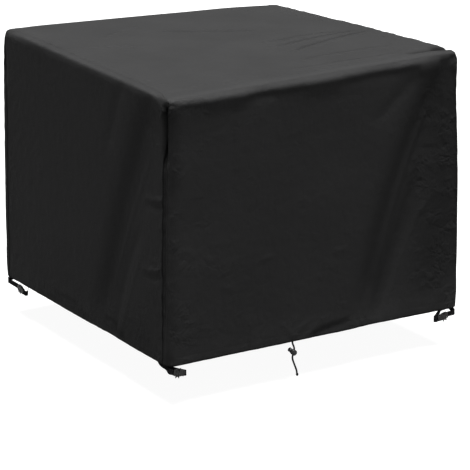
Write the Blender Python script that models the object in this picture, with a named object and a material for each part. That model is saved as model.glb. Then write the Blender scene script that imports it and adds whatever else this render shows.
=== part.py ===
"""Fitted square patio furniture cover with leg straps and a draw cord.

Metres, +Z up. The origin is the middle of the underside of the top, where the cover is held up.
+X runs along the front wall from its left corner to its right one, and the front wall faces -Y.
The cloth is worked out on a sharp-edged box first. Its edges are then rounded, its folds are
raised or sunk along the outward direction, and its corners are moved to where they really hang.
"""
import math
from collections import namedtuple

import bmesh
import bpy
import numpy as np
from mathutils import Matrix, Vector

# ---- Cloth -------------------------------------------------------------------------------------
WIDTH = 0.950              # front wall, corner to corner
DEPTH = 0.950              # front wall to back wall
DROP = 0.743               # top to hem
HALF_X = WIDTH / 2
HALF_Y = DEPTH / 2
CLOTH = 0.0016             # coated polyester with its coating
HEM_BAND = 0.024           # height of the casing that the draw cord runs in
HEM_THICK = 0.0045         # casing with the cord inside it
GAP = 0.0003               # between pieces that touch
SEAM_SIDE = 0.00036        # each panel's edge stops this far short of its seam line

TOP_ROLL = 0.026           # radius of the soft roll round the top
TOP_ROLL_REACH = 0.090     # below this the upright corners are sharper
CORNER_ROUND = 0.012       # radius of the upright corners
HEM_ROUND = 0.022          # radius of the corners at the hem
HEM_ROUND_REACH = 0.060

SEAM_ON_TOP = 0.024        # the top seams lie this far in from the box's edge
SEAM_ON_TOP_REACH = 0.085  # and run out to it over this length at each corner
SEAM_ON_WALL = 0.028       # the upright seams lie this far round the corner, on the end wall
SEAM_ON_WALL_REACH = 0.200

# ---- How unevenly the corners hang ---------------------------------------------------------------
Corner = namedtuple("Corner", "name side_x side_y top_lift hem_out hem_lift")
CORNERS = (
    Corner("front_left", -1, -1, -0.013, 0.008, 0.005),
    Corner("front_right", 1, -1, 0.012, 0.008, -0.002),
    Corner("back_left", -1, 1, 0.012, 0.008, -0.003),
    Corner("back_right", 1, 1, -0.011, 0.008, 0.000),
)

# ---- Main folds: points are (along the wall, down from the top), on the top (across, back) --------
Fold = namedtuple("Fold", "wall start middle end height spread")
FOLDS = (
    Fold("left", (0.050, 0.020), (0.248, 0.350), (0.385, 0.690), -0.0100, 0.030),
    Fold("left", (0.095, 0.120), (0.200, 0.350), (0.320, 0.630), 0.0085, 0.026),
    Fold("left", (0.030, 0.230), (0.075, 0.420), (0.120, 0.600), 0.0050, 0.034),
    Fold("front", (0.905, 0.022), (0.715, 0.335), (0.625, 0.670), -0.0105, 0.030),
    Fold("front", (0.850, 0.150), (0.745, 0.380), (0.660, 0.630), 0.0085, 0.026),
    Fold("front", (0.925, 0.160), (0.893, 0.380), (0.850, 0.620), -0.0050, 0.024),
    Fold("front", (0.870, 0.240), (0.825, 0.420), (0.785, 0.600), 0.0045, 0.026),
    Fold("top", (0.815, 0.068), (0.885, 0.062), (0.965, 0.050), -0.0110, 0.015),
    Fold("top", (0.800, 0.022), (0.870, 0.024), (0.935, 0.028), 0.0050, 0.020),
    Fold("right", (0.050, 0.022), (0.225, 0.330), (0.360, 0.660), -0.0090, 0.030),
    Fold("right", (0.905, 0.022), (0.745, 0.340), (0.650, 0.650), -0.0090, 0.030),
    Fold("right", (0.850, 0.160), (0.790, 0.390), (0.700, 0.620), 0.0070, 0.028),
    Fold("back", (0.050, 0.022), (0.220, 0.330), (0.350, 0.660), -0.0090, 0.032),
    Fold("back", (0.900, 0.022), (0.730, 0.340), (0.640, 0.650), -0.0090, 0.032),
)
FOLD_POINTS = 14           # points along each fold's line
FOLD_FADE = 0.22           # share of a fold's length over which each end dies away
FOLD_BEGINS = 0.35         # share of its height that a fold has at its very start

# ---- Where the cloth's grids have their lines ----------------------------------------------------
EDGE_STEPS = (0.0, 0.008, 0.018, 0.032, 0.048, 0.066, 0.090)
BACK_EDGE_STEPS = (0.0, 0.014, 0.034, 0.070)
CORNER_ZONE = 0.060        # width of the zone with close columns beside an upright corner
CORNER_SHARES = (0.22, 0.425, 0.545, 0.66, 0.78, 1.0)
WALL_ROWS = 8
HEM_STEP = 0.006           # height over which the cloth thickens into the casing
FRONT_FINE_START = 0.120   # columns are close to the right of this, where the folds are
COARSE_COLUMNS = 6
FINE_COLUMNS = 10
LEFT_FOLDS_END = 0.425     # rows on the top are close up to this distance from the front
LEFT_FOLD_ROWS = 9
TOP_FAR_ROWS = 5

# ---- Leg straps and buckles -----------------------------------------------------------------------
WEBBING_WIDE = 0.015
WEBBING_THICK = 0.0015
SEWN_IN = HEM_THICK + GAP + WEBBING_THICK / 2     # from the wall's outside to the webbing's middle
LegStrap = namedtuple("LegStrap", "corner runs_along reach")
LEG_STRAPS = (
    LegStrap("front_left", "x", 0.000),
    LegStrap("front_right", "x", 0.020),
    LegStrap("back_left", "y", 0.065),
    LegStrap("back_right", "x", 0.020),
)
REACH_FROM = 0.0110        # reach is added past this distance from the corner
REACH_OVER = 0.0025
# Places of the webbing's middle line: along the visible wall, in from it, below the hem, and the
# way that the webbing's outer face looks (0 out of the sewn wall, 90 out of the visible wall).
StrapPoint = namedtuple("StrapPoint", "along inward below facing")
LONG_STRAP = (
    StrapPoint(SEWN_IN, 0.0370, -0.0170, 0),
    StrapPoint(SEWN_IN, 0.0370, -0.0060, 0),
    StrapPoint(SEWN_IN + 0.0004, 0.0350, 0.0012, 0),
    StrapPoint(SEWN_IN + 0.0018, 0.0285, 0.0070, 0),
    StrapPoint(SEWN_IN + 0.0020, 0.0200, 0.0098, 0),
    StrapPoint(SEWN_IN + 0.0006, 0.0125, 0.0122, 4),
    StrapPoint(0.0066, 0.0062, 0.0140, 32),
    StrapPoint(0.0105, 0.0032, 0.0153, 72),
    StrapPoint(0.0150, 0.0026, 0.0165, 90),
)
SHORT_STRAP = (
    StrapPoint(0.0490, 0.0026, 0.0250, 90),
    StrapPoint(0.0540, 0.0034, 0.0262, 112),
    StrapPoint(0.0576, 0.0080, 0.0266, 180),
    StrapPoint(0.0540, 0.0128, 0.0262, 246),
    StrapPoint(0.0480, 0.0160, 0.0248, 256),
    StrapPoint(0.0340, 0.0240, 0.0205, 252),
    StrapPoint(0.0200, 0.0315, 0.0145, 245),
    StrapPoint(0.0105, 0.0400, 0.0090, 215),
    StrapPoint(0.0062, 0.0490, 0.0045, 188),
    StrapPoint(SEWN_IN, 0.0570, 0.0005, 180),
    StrapPoint(SEWN_IN, 0.0600, -0.0060, 180),
    StrapPoint(SEWN_IN, 0.0600, -0.0170, 180),
)
STRAP_STEPS = 2            # cross-sections for each row of a strap's table

BUCKLE_WIDE = 0.0185
BUCKLE_THICK = 0.0076
PLUG_THICK = 0.0065
SOCKET_LONG = 0.0215       # the plug's body takes up the rest of the room between the straps
PLUG_ARM_OUT = 0.0016      # how far the plug's arms stand out at their shoulders
BUCKLE_EDGE = 0.0011       # rounded edges

# ---- Draw cord and its lock: points are (to the right, down) from where the cord leaves the hem ----
CORD_EXIT_ALONG = 0.389    # along the front wall
CORD_THICK = 0.0045
CORD_ROUTE = (
    (0.0000, 0.0000), (0.0003, 0.0040), (0.0016, 0.0085), (0.0036, 0.0130), (0.0053, 0.0175),
    (0.0060, 0.0226), (0.0048, 0.0272), (0.0036, 0.0318), (0.0024, 0.0364), (0.0012, 0.0410),
    (0.0004, 0.0455), (0.0008, 0.0505), (0.0024, 0.0560), (0.0047, 0.0622), (0.0074, 0.0690),
    (0.0100, 0.0755), (0.0126, 0.0820), (0.0146, 0.0885), (0.0158, 0.0955),
)
LOCK_ON_ROUTE = 7          # the route's point where the cord crosses the lock's axis
CORD_STEP = 1.3 * CORD_THICK       # between the tube's points
CURVE_STEPS = 24           # the route's smooth curve is measured in this many steps a point
LOCK_TILT = math.radians(40)       # of the lock's axis, below the level
LOCK_CROSSING = 0.0012     # from the barrel's middle to where the cord crosses the axis
HOLE_RADIUS = CORD_THICK / 2 + 0.0005
HOLE_REACH = 0.030         # length of the cutter for the cord hole
# Barrel: (along its axis, radius), from its mouth round to its closed end.
BARREL_OUTSIDE = (
    (-0.0094, 0.0056), (-0.0089, 0.0062), (-0.0055, 0.0069), (-0.0015, 0.0077), (0.0020, 0.0082),
    (0.0050, 0.0083), (0.0075, 0.0076), (0.0092, 0.0058), (0.0101, 0.0032), (0.0104, 0.0),
)
BORE_RADIUS = 0.0038
BORE_FLOOR = -0.0029
STEM_RADIUS = BORE_RADIUS - GAP
STEM_END = -0.0064         # the button's travel is 3.2 mm, and the pressed stem stays off the cord
BUTTON_HEAD = (
    (-0.0168, 0.0), (-0.0168, 0.0052), (-0.0163, 0.0059), (-0.0143, 0.0062), (-0.0136, 0.0058),
    (-0.0131, 0.0046),
)
TURN_SIDES = 20
KNOT_LONG = 0.0080
KNOT_RADIUS = 0.0034
KNOT_WAIST = (
    (-0.5, 0.0), (-0.5, 0.45), (-0.36, 0.86), (-0.14, 1.0), (0.06, 0.92), (0.24, 1.0),
    (0.42, 0.74), (0.5, 0.36), (0.5, 0.0),
)

# ---- Finishes: colour, roughness -------------------------------------------------------------------
CLOTH_COLOUR = ((0.030, 0.030, 0.031, 1.0), 0.62)
WEBBING_COLOUR = ((0.014, 0.014, 0.015, 1.0), 0.80)
BUCKLE_COLOUR = ((0.008, 0.008, 0.009, 1.0), 0.34)
CORD_COLOUR = ((0.010, 0.010, 0.011, 1.0), 0.75)


# ---- Small helpers ---------------------------------------------------------------------------------
def ramp(value):
    """Smooth rise from 0 to 1 as value goes from 0 to 1."""
    level = np.clip(value, 0.0, 1.0)
    return level * level * (3.0 - 2.0 * level)


def finish(name, colour_and_roughness):
    """A plain material for one sub-part."""
    colour, roughness = colour_and_roughness
    material = bpy.data.materials.new(name + "_finish")
    material.use_nodes = True
    shader = material.node_tree.nodes["Principled BSDF"]
    shader.inputs["Base Color"].default_value = colour
    shader.inputs["Roughness"].default_value = roughness
    shader.inputs["Metallic"].default_value = 0.0
    return material


def object_from_bmesh(name, mesh_edit, colour_and_roughness, sharp_angle=40):
    """Turn a bmesh into a named, smoothly shaded object whose faces point outwards."""
    bmesh.ops.recalc_face_normals(mesh_edit, faces=mesh_edit.faces)
    mesh = bpy.data.meshes.new(name)
    mesh_edit.to_mesh(mesh)
    mesh_edit.free()
    mesh.shade_smooth()
    mesh.set_sharp_from_angle(angle=math.radians(sharp_angle))
    mesh.materials.append(finish(name, colour_and_roughness))
    made = bpy.data.objects.new(name, mesh)
    bpy.context.scene.collection.objects.link(made)
    return made


def smooth_curve(points, steps):
    """Points on a smooth curve through the given ones, with steps for each stretch."""
    given = np.array(points, dtype=float)
    before = np.vstack([2 * given[0] - given[1], given[:-1]])
    after = np.vstack([given[1:], 2 * given[-1] - given[-2]])
    slopes = (after - before) / 2
    curve = []
    for index in range(len(given) - 1):
        for step in range(steps):
            t = step / steps
            curve.append(
                given[index] * (2 * t**3 - 3 * t**2 + 1) + slopes[index] * (t**3 - 2 * t**2 + t)
                + given[index + 1] * (3 * t**2 - 2 * t**3) + slopes[index + 1] * (t**3 - t**2))
    curve.append(given[-1])
    return np.array(curve)


# ---- The cloth's shape -----------------------------------------------------------------------------
def on_wall(wall, along, down):
    """Place on the sharp-edged box for a point of a wall, or of the top."""
    places = {
        "front": (along - HALF_X, -HALF_Y, -down),
        "back": (along - HALF_X, HALF_Y, -down),
        "left": (-HALF_X, along - HALF_Y, -down),
        "right": (HALF_X, along - HALF_Y, -down),
        "top": (along - HALF_X, down - HALF_Y, 0.0),
    }
    return np.array(places[wall])


def corner_radius(down):
    """Radius of the upright corners: soft at the top, sharper below, soft again at the hem."""
    at_top = (TOP_ROLL - CORNER_ROUND) * (1.0 - ramp(down / TOP_ROLL_REACH))
    at_hem = (HEM_ROUND - CORNER_ROUND) * ramp((down - DROP + HEM_ROUND_REACH) / HEM_ROUND_REACH)
    return CORNER_ROUND + at_top + at_hem


def round_edges(points):
    """Move points of the sharp-edged box onto the rounded one; also give the outward directions."""
    radius = corner_radius(-points[:, 2])
    core = points.copy()
    core[:, 0] = np.clip(points[:, 0], radius - HALF_X, HALF_X - radius)
    core[:, 1] = np.clip(points[:, 1], radius - HALF_Y, HALF_Y - radius)
    core[:, 2] = np.minimum(points[:, 2], -TOP_ROLL)
    radii = np.stack([radius, radius, np.full_like(radius, TOP_ROLL)], axis=1)
    lean = (points - core) / radii
    lean /= np.linalg.norm(lean, axis=1, keepdims=True)
    outward = lean / radii
    outward /= np.linalg.norm(outward, axis=1, keepdims=True)
    return core + radii * lean, outward


def fold_heights(points):
    """How far the folds raise or sink each point of the sharp-edged box."""
    heights = np.zeros(len(points))
    for fold in FOLDS:
        start = on_wall(fold.wall, *fold.start)
        middle = on_wall(fold.wall, *fold.middle)
        end = on_wall(fold.wall, *fold.end)
        control = 2 * middle - (start + end) / 2
        best = np.full(len(points), np.inf)
        where = np.zeros(len(points))
        shares = np.linspace(0.0, 1.0, FOLD_POINTS)
        path = [(1 - t) ** 2 * start + 2 * t * (1 - t) * control + t * t * end for t in shares]
        for index in range(FOLD_POINTS - 1):
            stretch = path[index + 1] - path[index]
            reach = np.clip((points - path[index]) @ stretch / (stretch @ stretch), 0.0, 1.0)
            away = np.linalg.norm(points - path[index] - reach[:, None] * stretch, axis=1)
            nearer = away < best
            best = np.where(nearer, away, best)
            where = np.where(nearer, (index + reach) / (FOLD_POINTS - 1), where)
        taper = ramp(where / FOLD_FADE + FOLD_BEGINS) * ramp((1.0 - where) / FOLD_FADE)
        heights += fold.height * taper * np.exp(-(best / fold.spread) ** 2)
    return heights


def hang(points):
    """Carry points of the even box to where the uneven cover has them."""
    across = points[:, 0] / WIDTH + 0.5
    back = points[:, 1] / DEPTH + 0.5
    down = -points[:, 2] / DROP
    moved = points.copy()
    for corner in CORNERS:
        share_x = across if corner.side_x > 0 else 1.0 - across
        share_y = back if corner.side_y > 0 else 1.0 - back
        share = share_x * share_y
        moved[:, 0] += share * down * corner.side_x * corner.hem_out
        moved[:, 1] += share * down * corner.side_y * corner.hem_out
        moved[:, 2] += share * ((1.0 - down) * corner.top_lift + down * corner.hem_lift)
    moved[:, 2] += CLOTH
    return moved


def cloth_faces(grid):
    """Outer and inner points of the cloth for a grid of places on the sharp-edged box."""
    shape = grid.shape
    points = grid.reshape(-1, 3)
    surface, outward = round_edges(points)
    surface = surface + outward * fold_heights(points)[:, None]
    casing = ramp((-points[:, 2] - DROP + HEM_BAND) / HEM_STEP)
    thickness = CLOTH + (HEM_THICK - CLOTH) * casing
    outer = hang(surface)
    inner = hang(surface - outward * thickness[:, None])
    return outer.reshape(shape), inner.reshape(shape)


def sheet_object(name, grid):
    """One closed panel of cloth from its grid of places.

    Both skins are split along the same diagonals, so they never cross where a fold is steep.
    """
    outer, inner = cloth_faces(grid)
    rows, columns = grid.shape[:2]
    cloth = bmesh.new()
    skins = [[[cloth.verts.new(skin[r][c]) for c in range(columns)] for r in range(rows)]
             for skin in (outer, inner)]
    for r in range(rows - 1):
        for c in range(columns - 1):
            square = [(r, c), (r, c + 1), (r + 1, c + 1), (r + 1, c)]
            down_right = np.linalg.norm(outer[r + 1][c + 1] - outer[r][c])
            down_left = np.linalg.norm(outer[r + 1][c] - outer[r][c + 1])
            if down_left < down_right:
                square = square[1:] + square[:1]
            for triangle in ((square[0], square[1], square[2]), (square[0], square[2], square[3])):
                cloth.faces.new([skins[0][i][j] for i, j in triangle])
                cloth.faces.new([skins[1][i][j] for i, j in reversed(triangle)])
    rim = [(0, c) for c in range(columns)] + [(r, columns - 1) for r in range(1, rows)]
    rim += [(rows - 1, c) for c in range(columns - 2, -1, -1)] + [(r, 0) for r in range(rows - 2, 0, -1)]
    for here, there in zip(rim, rim[1:] + rim[:1]):
        cloth.faces.new([skins[0][there[0]][there[1]], skins[0][here[0]][here[1]],
                         skins[1][here[0]][here[1]], skins[1][there[0]][there[1]]])
    return object_from_bmesh(name, cloth, CLOTH_COLOUR, sharp_angle=60)


def wall_lines():
    """Distances down a wall at which the grids have a row."""
    body_end = DROP - HEM_BAND
    body = np.linspace(EDGE_STEPS[-1], body_end, WALL_ROWS + 1)[1:]
    return np.concatenate([EDGE_STEPS, body, [body_end + HEM_STEP, DROP]])


def top_lines():
    """Places from front to back at which the grids have a line."""
    near = -HALF_Y + np.array(EDGE_STEPS)
    folded = np.linspace(near[-1], LEFT_FOLDS_END - HALF_Y, LEFT_FOLD_ROWS + 1)[1:]
    far = HALF_Y - np.array(BACK_EDGE_STEPS[::-1])
    plain = np.linspace(folded[-1], far[0], TOP_FAR_ROWS + 1)[1:]
    return np.concatenate([near, folded, plain, far[1:]])


def seam_on_top(y):
    """How far in from the box's edge the top seams lie."""
    return SEAM_ON_TOP * ramp((HALF_Y - np.abs(y)) / SEAM_ON_TOP_REACH)


def seam_on_wall(down):
    """How far round the corner the upright seams lie."""
    return SEAM_ON_WALL * ramp(down / SEAM_ON_WALL_REACH)


def wrap_columns(half_width):
    """Places across the wrap panel, from its left edge to its right one."""
    zone = HALF_X - CORNER_ZONE
    close = zone + (half_width - zone) * np.array(CORNER_SHARES)
    split = FRONT_FINE_START
    coarse = np.linspace(-zone, split, COARSE_COLUMNS + 1)
    fine = np.linspace(split, zone, FINE_COLUMNS + 1)[1:]
    return np.concatenate([-close[::-1], coarse, fine, close])


def wrap_grid():
    """Front wall, top and back wall, as one strip."""
    downs = wall_lines()
    rows = []
    for side in (-1, 1):
        wall = []
        for down in downs[1:]:
            across = wrap_columns(HALF_X + seam_on_wall(down) - SEAM_SIDE)
            over = np.maximum(np.abs(across) - HALF_X, 0.0)
            wall.append(np.stack([np.clip(across, -HALF_X, HALF_X), side * (HALF_Y - over),
                                  np.full_like(across, -down)], axis=1))
        if side < 0:
            rows += wall[::-1]
            for y in top_lines():
                across = wrap_columns(HALF_X - seam_on_top(y) - SEAM_SIDE)
                rows.append(np.stack([across, np.full_like(across, y), np.zeros_like(across)], axis=1))
        else:
            rows += wall
    return np.array(rows)


def end_grid(side):
    """One end wall with its strip that rolls over onto the top."""
    rows = []
    for down in wall_lines():
        fade = max(0.0, 1.0 - down / EDGE_STEPS[-2])
        seam = seam_on_top(top_lines())
        depth = down - seam * fade + SEAM_SIDE * fade
        depth = np.where(down > 0.0, depth, SEAM_SIDE - seam)
        squeeze = (HALF_Y - seam_on_wall(down) - SEAM_SIDE) / HALF_Y
        y = top_lines() * squeeze
        if down == 0.0:
            y = np.clip(top_lines(), SEAM_SIDE - HALF_Y, HALF_Y - SEAM_SIDE)
        x = side * (HALF_X + np.minimum(depth, 0.0))
        rows.append(np.stack([x, y, -np.maximum(depth, 0.0)], axis=1))
    return np.array(rows)


# ---- Webbing and buckles ---------------------------------------------------------------------------
def strap_place(strap, along, inward, below):
    """Place on the even box for a point given from a hem corner."""
    corner = next(c for c in CORNERS if c.name == strap.corner)
    if strap.runs_along == "x":
        from_edge = (along, inward)
    else:
        from_edge = (inward, along)
    x = corner.side_x * (HALF_X - from_edge[0])
    y = corner.side_y * (HALF_Y - from_edge[1])
    return np.array((x, y, -DROP - below))


def strap_direction(strap, along, inward, below):
    """The same for a direction."""
    step = strap_place(strap, along, inward, below) - strap_place(strap, 0.0, 0.0, 0.0)
    return step / np.linalg.norm(step)


def stretched(strap, along):
    """Distance along the visible wall with the strap's own reach added past the corner."""
    return along + strap.reach * float(ramp((along - REACH_FROM) / REACH_OVER))


def strap_middle(strap, row):
    """Place of one row of a strap's table on the even box."""
    return strap_place(strap, stretched(strap, row[0]), row[1], row[2])


def webbing_object(name, strap, table, buckle_end):
    """A flat strap along its table's middle line, square to the buckle at that end."""
    route = smooth_curve([tuple(row) for row in table], STRAP_STEPS)
    middles = np.array([strap_middle(strap, row) for row in route])
    travel = np.gradient(middles, axis=0)
    travel[buckle_end] = strap_middle(strap, SHORT_STRAP[0]) - strap_middle(strap, LONG_STRAP[-1])
    band = bmesh.new()
    rings = []
    for row, middle, forward in zip(route, middles, travel):
        facing = math.radians(row[3])
        out = strap_direction(strap, -math.cos(facing), -math.sin(facing), 0.0)
        wide = np.cross(forward, out)
        wide /= np.linalg.norm(wide)
        thick = np.cross(wide, forward)
        thick /= np.linalg.norm(thick)
        corners = [middle + wide * WEBBING_WIDE / 2 * w + thick * WEBBING_THICK / 2 * t
                   for w, t in ((-1, -1), (1, -1), (1, 1), (-1, 1))]
        rings.append([band.verts.new(place) for place in hang(np.array(corners))])
    for ring, following in zip(rings, rings[1:]):
        for k in range(4):
            band.faces.new([ring[k], ring[(k + 1) % 4], following[(k + 1) % 4], following[k]])
    band.faces.new(rings[0][::-1])
    band.faces.new(rings[-1])
    return object_from_bmesh(name, band, WEBBING_COLOUR)


def outline_solid(name, outline, thickness):
    """An extruded outline in the buckle's own frame: X along it, Y across it, Z out of its face."""
    plate = bmesh.new()
    base = [plate.verts.new((x, y, -thickness / 2)) for x, y in outline]
    face = plate.faces.new(base)
    grown = bmesh.ops.extrude_face_region(plate, geom=[face])
    lifted = [item for item in grown["geom"] if isinstance(item, bmesh.types.BMVert)]
    bmesh.ops.translate(plate, verts=lifted, vec=(0.0, 0.0, thickness))
    made = object_from_bmesh(name, plate, BUCKLE_COLOUR, sharp_angle=30)
    edges = made.modifiers.new("rounded_edges", "BEVEL")
    edges.width = BUCKLE_EDGE
    edges.segments = 2
    edges.limit_method = "ANGLE"
    edges.angle_limit = math.radians(50)
    return made


def socket_outline():
    """Half that the plug clicks into: its sides are cut away where the plug's arms are pressed."""
    half = BUCKLE_WIDE / 2
    waist = half - PLUG_ARM_OUT - GAP
    long = SOCKET_LONG
    right = [(0.0, half * 0.80), (long * 0.12, half * 0.95), (long * 0.38, half), (long * 0.46, waist),
             (long * 0.80, waist), (long * 0.88, half), (long, half)]
    return [(x, -y) for x, y in right] + [(x, y) for x, y in reversed(right)]


def plug_outline(long):
    """Half with the two arms: wide shoulders against the socket, narrower where the strap is held."""
    half = BUCKLE_WIDE / 2
    right = [(0.0, half), (long * 0.18, half), (long * 0.42, half * 0.86), (long * 0.80, half * 0.90),
             (long, half * 0.74)]
    return [(x, -y) for x, y in right] + [(x, y) for x, y in reversed(right)]


def buckle_frame(strap):
    """Matrix from the buckle's own frame, which starts at the long strap's end, and its length."""
    last = LONG_STRAP[-1]
    first = SHORT_STRAP[0]
    start = hang(strap_middle(strap, last)[None])[0]
    end = hang(strap_middle(strap, first)[None])[0]
    run = Vector(end - start).normalized()
    out = Vector(strap_direction(strap, 0.0, -1.0, 0.0))
    across = out.cross(run).normalized()
    out = run.cross(across)
    turn = Matrix((run, across, out)).transposed().to_4x4()
    return Matrix.Translation(Vector(start)) @ turn, (Vector(end) - Vector(start)).length


def add_leg_strap(strap):
    """Both straps and both buckle halves of one corner."""
    webbing_object("strap_long_" + strap.corner, strap, LONG_STRAP, -1)
    webbing_object("strap_short_" + strap.corner, strap, SHORT_STRAP, 0)
    frame, run = buckle_frame(strap)
    socket = outline_solid("buckle_socket_" + strap.corner, socket_outline(), BUCKLE_THICK)
    socket.matrix_world = frame @ Matrix.Translation((GAP, 0.0, 0.0))
    plug_long = run - SOCKET_LONG - 3 * GAP
    plug = outline_solid("buckle_plug_" + strap.corner, plug_outline(plug_long), PLUG_THICK)
    plug.matrix_world = frame @ Matrix.Translation((SOCKET_LONG + 2 * GAP, 0.0, 0.0))


# ---- Draw cord and lock ------------------------------------------------------------------------------
def cord_exit():
    """Middle of the casing's lower edge where the cord comes out."""
    place = on_wall("front", CORD_EXIT_ALONG, DROP)
    place[1] += HEM_THICK / 2
    return hang(place[None])[0] - np.array((0.0, 0.0, GAP))


def cord_place(right, down):
    """A point of the cord's route."""
    return cord_exit() + np.array((right, 0.0, -down))


def lock_axis():
    """Direction from the button to the lock's closed end."""
    return Vector((math.cos(LOCK_TILT), 0.0, -math.sin(LOCK_TILT)))


def cord_tube(name, points):
    """A round cord along a smooth curve through the given points; also give the tube's points."""
    fine = smooth_curve(points, CURVE_STEPS)
    lengths = np.concatenate([[0.0], np.cumsum(np.linalg.norm(np.diff(fine, axis=0), axis=1))])
    count = round(lengths[-1] / CORD_STEP)
    marks = np.linspace(0.0, lengths[-1], count + 1)
    even = np.stack([np.interp(marks, lengths, fine[:, k]) for k in range(3)], axis=1)
    curve = bpy.data.curves.new(name, "CURVE")
    curve.dimensions = "3D"
    curve.bevel_depth = CORD_THICK / 2
    curve.bevel_resolution = 2
    curve.use_fill_caps = True
    spline = curve.splines.new("POLY")
    spline.points.add(len(even) - 1)
    for point, place in zip(spline.points, even):
        point.co = (*place, 1.0)
    curve.materials.append(finish(name, CORD_COLOUR))
    made = bpy.data.objects.new(name, curve)
    bpy.context.scene.collection.objects.link(made)
    return even


def turned_solid(name, profile, colour_and_roughness, place, axis):
    """A solid turned round an axis; the profile's first and last radius are 0."""
    shape = bmesh.new()
    rings = []
    for along, radius in profile:
        if radius == 0.0:
            rings.append([shape.verts.new((0.0, 0.0, along))])
            continue
        angles = [2 * math.pi * k / TURN_SIDES for k in range(TURN_SIDES)]
        rings.append([shape.verts.new((radius * math.cos(a), radius * math.sin(a), along)) for a in angles])
    for ring, following in zip(rings, rings[1:]):
        for k in range(TURN_SIDES):
            after = (k + 1) % TURN_SIDES
            if len(ring) == 1:
                shape.faces.new((ring[0], following[k], following[after]))
            elif len(following) == 1:
                shape.faces.new((ring[k], following[0], ring[after]))
            else:
                shape.faces.new((ring[k], following[k], following[after], ring[after]))
    made = object_from_bmesh(name, shape, colour_and_roughness)
    made.matrix_world = Matrix.Translation(place) @ axis.to_track_quat("Z", "Y").to_matrix().to_4x4()
    return made


def cut_cord_hole(barrel, crossing, direction):
    """Cut the hole for the cord right through the barrel."""
    bpy.ops.mesh.primitive_cylinder_add(radius=HOLE_RADIUS, depth=HOLE_REACH, vertices=20)
    drill = bpy.context.object
    drill.name = "cord_hole_cutter"
    turn = direction.to_track_quat("Z", "Y").to_matrix().to_4x4()
    drill.matrix_world = Matrix.Translation(crossing) @ turn
    drill.hide_render = True
    drill.display_type = "WIRE"
    cut = barrel.modifiers.new("cord_hole", "BOOLEAN")
    cut.operation = "DIFFERENCE"
    cut.solver = "EXACT"
    cut.object = drill


def add_draw_cord():
    """The cord from the hem to its knot, the lock on it and the lock's button."""
    route = [Vector(cord_place(*point)) for point in CORD_ROUTE]
    crossing = route[LOCK_ON_ROUTE]
    axis = lock_axis()
    middle = crossing - axis * LOCK_CROSSING
    bore = ((BORE_FLOOR, 0.0), (BORE_FLOOR, BORE_RADIUS), (BARREL_OUTSIDE[0][0], BORE_RADIUS))
    barrel = turned_solid("cord_lock_barrel", bore + BARREL_OUTSIDE, BUCKLE_COLOUR, middle, axis)
    cut_cord_hole(barrel, crossing, route[LOCK_ON_ROUTE - 1] - route[LOCK_ON_ROUTE + 1])
    stem = ((BUTTON_HEAD[-1][0], STEM_RADIUS), (STEM_END, STEM_RADIUS), (STEM_END, 0.0))
    turned_solid("cord_lock_button", BUTTON_HEAD + stem, BUCKLE_COLOUR, middle, axis)

    line = cord_tube("draw_cord", route)
    onward = Vector(line[-1] - line[-2]).normalized()
    knot_middle = Vector(line[-1]) + onward * (KNOT_LONG / 2 + GAP)
    knot = tuple((along * KNOT_LONG, radius * KNOT_RADIUS) for along, radius in KNOT_WAIST)
    turned_solid("draw_cord_knot", knot, CORD_COLOUR, knot_middle, onward)


def main():
    """Clear the scene and build every piece."""
    for old in list(bpy.data.objects):
        bpy.data.objects.remove(old, do_unlink=True)
    sheet_object("wrap_panel", wrap_grid())
    sheet_object("end_panel_left", end_grid(-1))
    sheet_object("end_panel_right", end_grid(1))
    for strap in LEG_STRAPS:
        add_leg_strap(strap)
    add_draw_cord()


main()
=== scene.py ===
"""Fitted square patio furniture cover: three sewn panels, four leg straps with buckles, a draw cord
and its lock. Metres, +Z up; the origin is the middle of the underside of the top, +X runs along the
front wall from left to right, and the front wall faces -Y.
"""
import math
from collections import namedtuple

import bmesh
import bpy
import numpy as np
from mathutils import Matrix, Vector


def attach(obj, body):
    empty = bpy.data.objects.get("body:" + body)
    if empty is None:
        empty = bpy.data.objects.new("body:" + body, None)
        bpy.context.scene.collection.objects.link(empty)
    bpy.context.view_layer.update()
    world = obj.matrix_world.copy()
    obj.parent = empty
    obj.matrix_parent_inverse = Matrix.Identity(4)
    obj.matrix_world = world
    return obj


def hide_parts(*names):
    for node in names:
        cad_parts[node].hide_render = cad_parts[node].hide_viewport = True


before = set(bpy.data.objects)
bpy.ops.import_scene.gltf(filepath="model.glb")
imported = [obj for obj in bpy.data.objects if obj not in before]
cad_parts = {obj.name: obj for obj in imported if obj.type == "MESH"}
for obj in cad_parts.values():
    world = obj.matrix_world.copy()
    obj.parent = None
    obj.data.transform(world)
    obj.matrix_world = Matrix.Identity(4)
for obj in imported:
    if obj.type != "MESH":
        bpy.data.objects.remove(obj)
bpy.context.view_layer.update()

bl_info = {
    "name": "Patio Furniture Cover",
    "version": (1, 0, 0),
    "blender": (4, 5, 0),
    "location": "View3D > Sidebar > Cover",
    "description": "Builds a fitted square furniture cover with its straps, draw cord and studio",
    "category": "Object",
}

# ---- Fixed shape of the cover, as in its solids ----
SEAM_SIDE = 0.00022        # each panel's edge stops this far short of its seam line
TOP_ROLL_REACH = 0.090
CORNER_ROUND = 0.012
HEM_ROUND = 0.022
HEM_ROUND_REACH = 0.060
SEAM_ON_TOP = 0.024
SEAM_ON_TOP_REACH = 0.085
SEAM_ON_WALL = 0.028
SEAM_ON_WALL_REACH = 0.200
SEAM_FADE = 0.066
GAP = 0.0003
OUT_OF_WALL = {"front": (0, -1, 0), "back": (0, 1, 0), "left": (-1, 0, 0), "right": (1, 0, 0),
               "top": (0, 0, 1)}
FOLD_POINTS = 14
FOLD_FADE = 0.22
FOLD_BEGINS = 0.35

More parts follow.
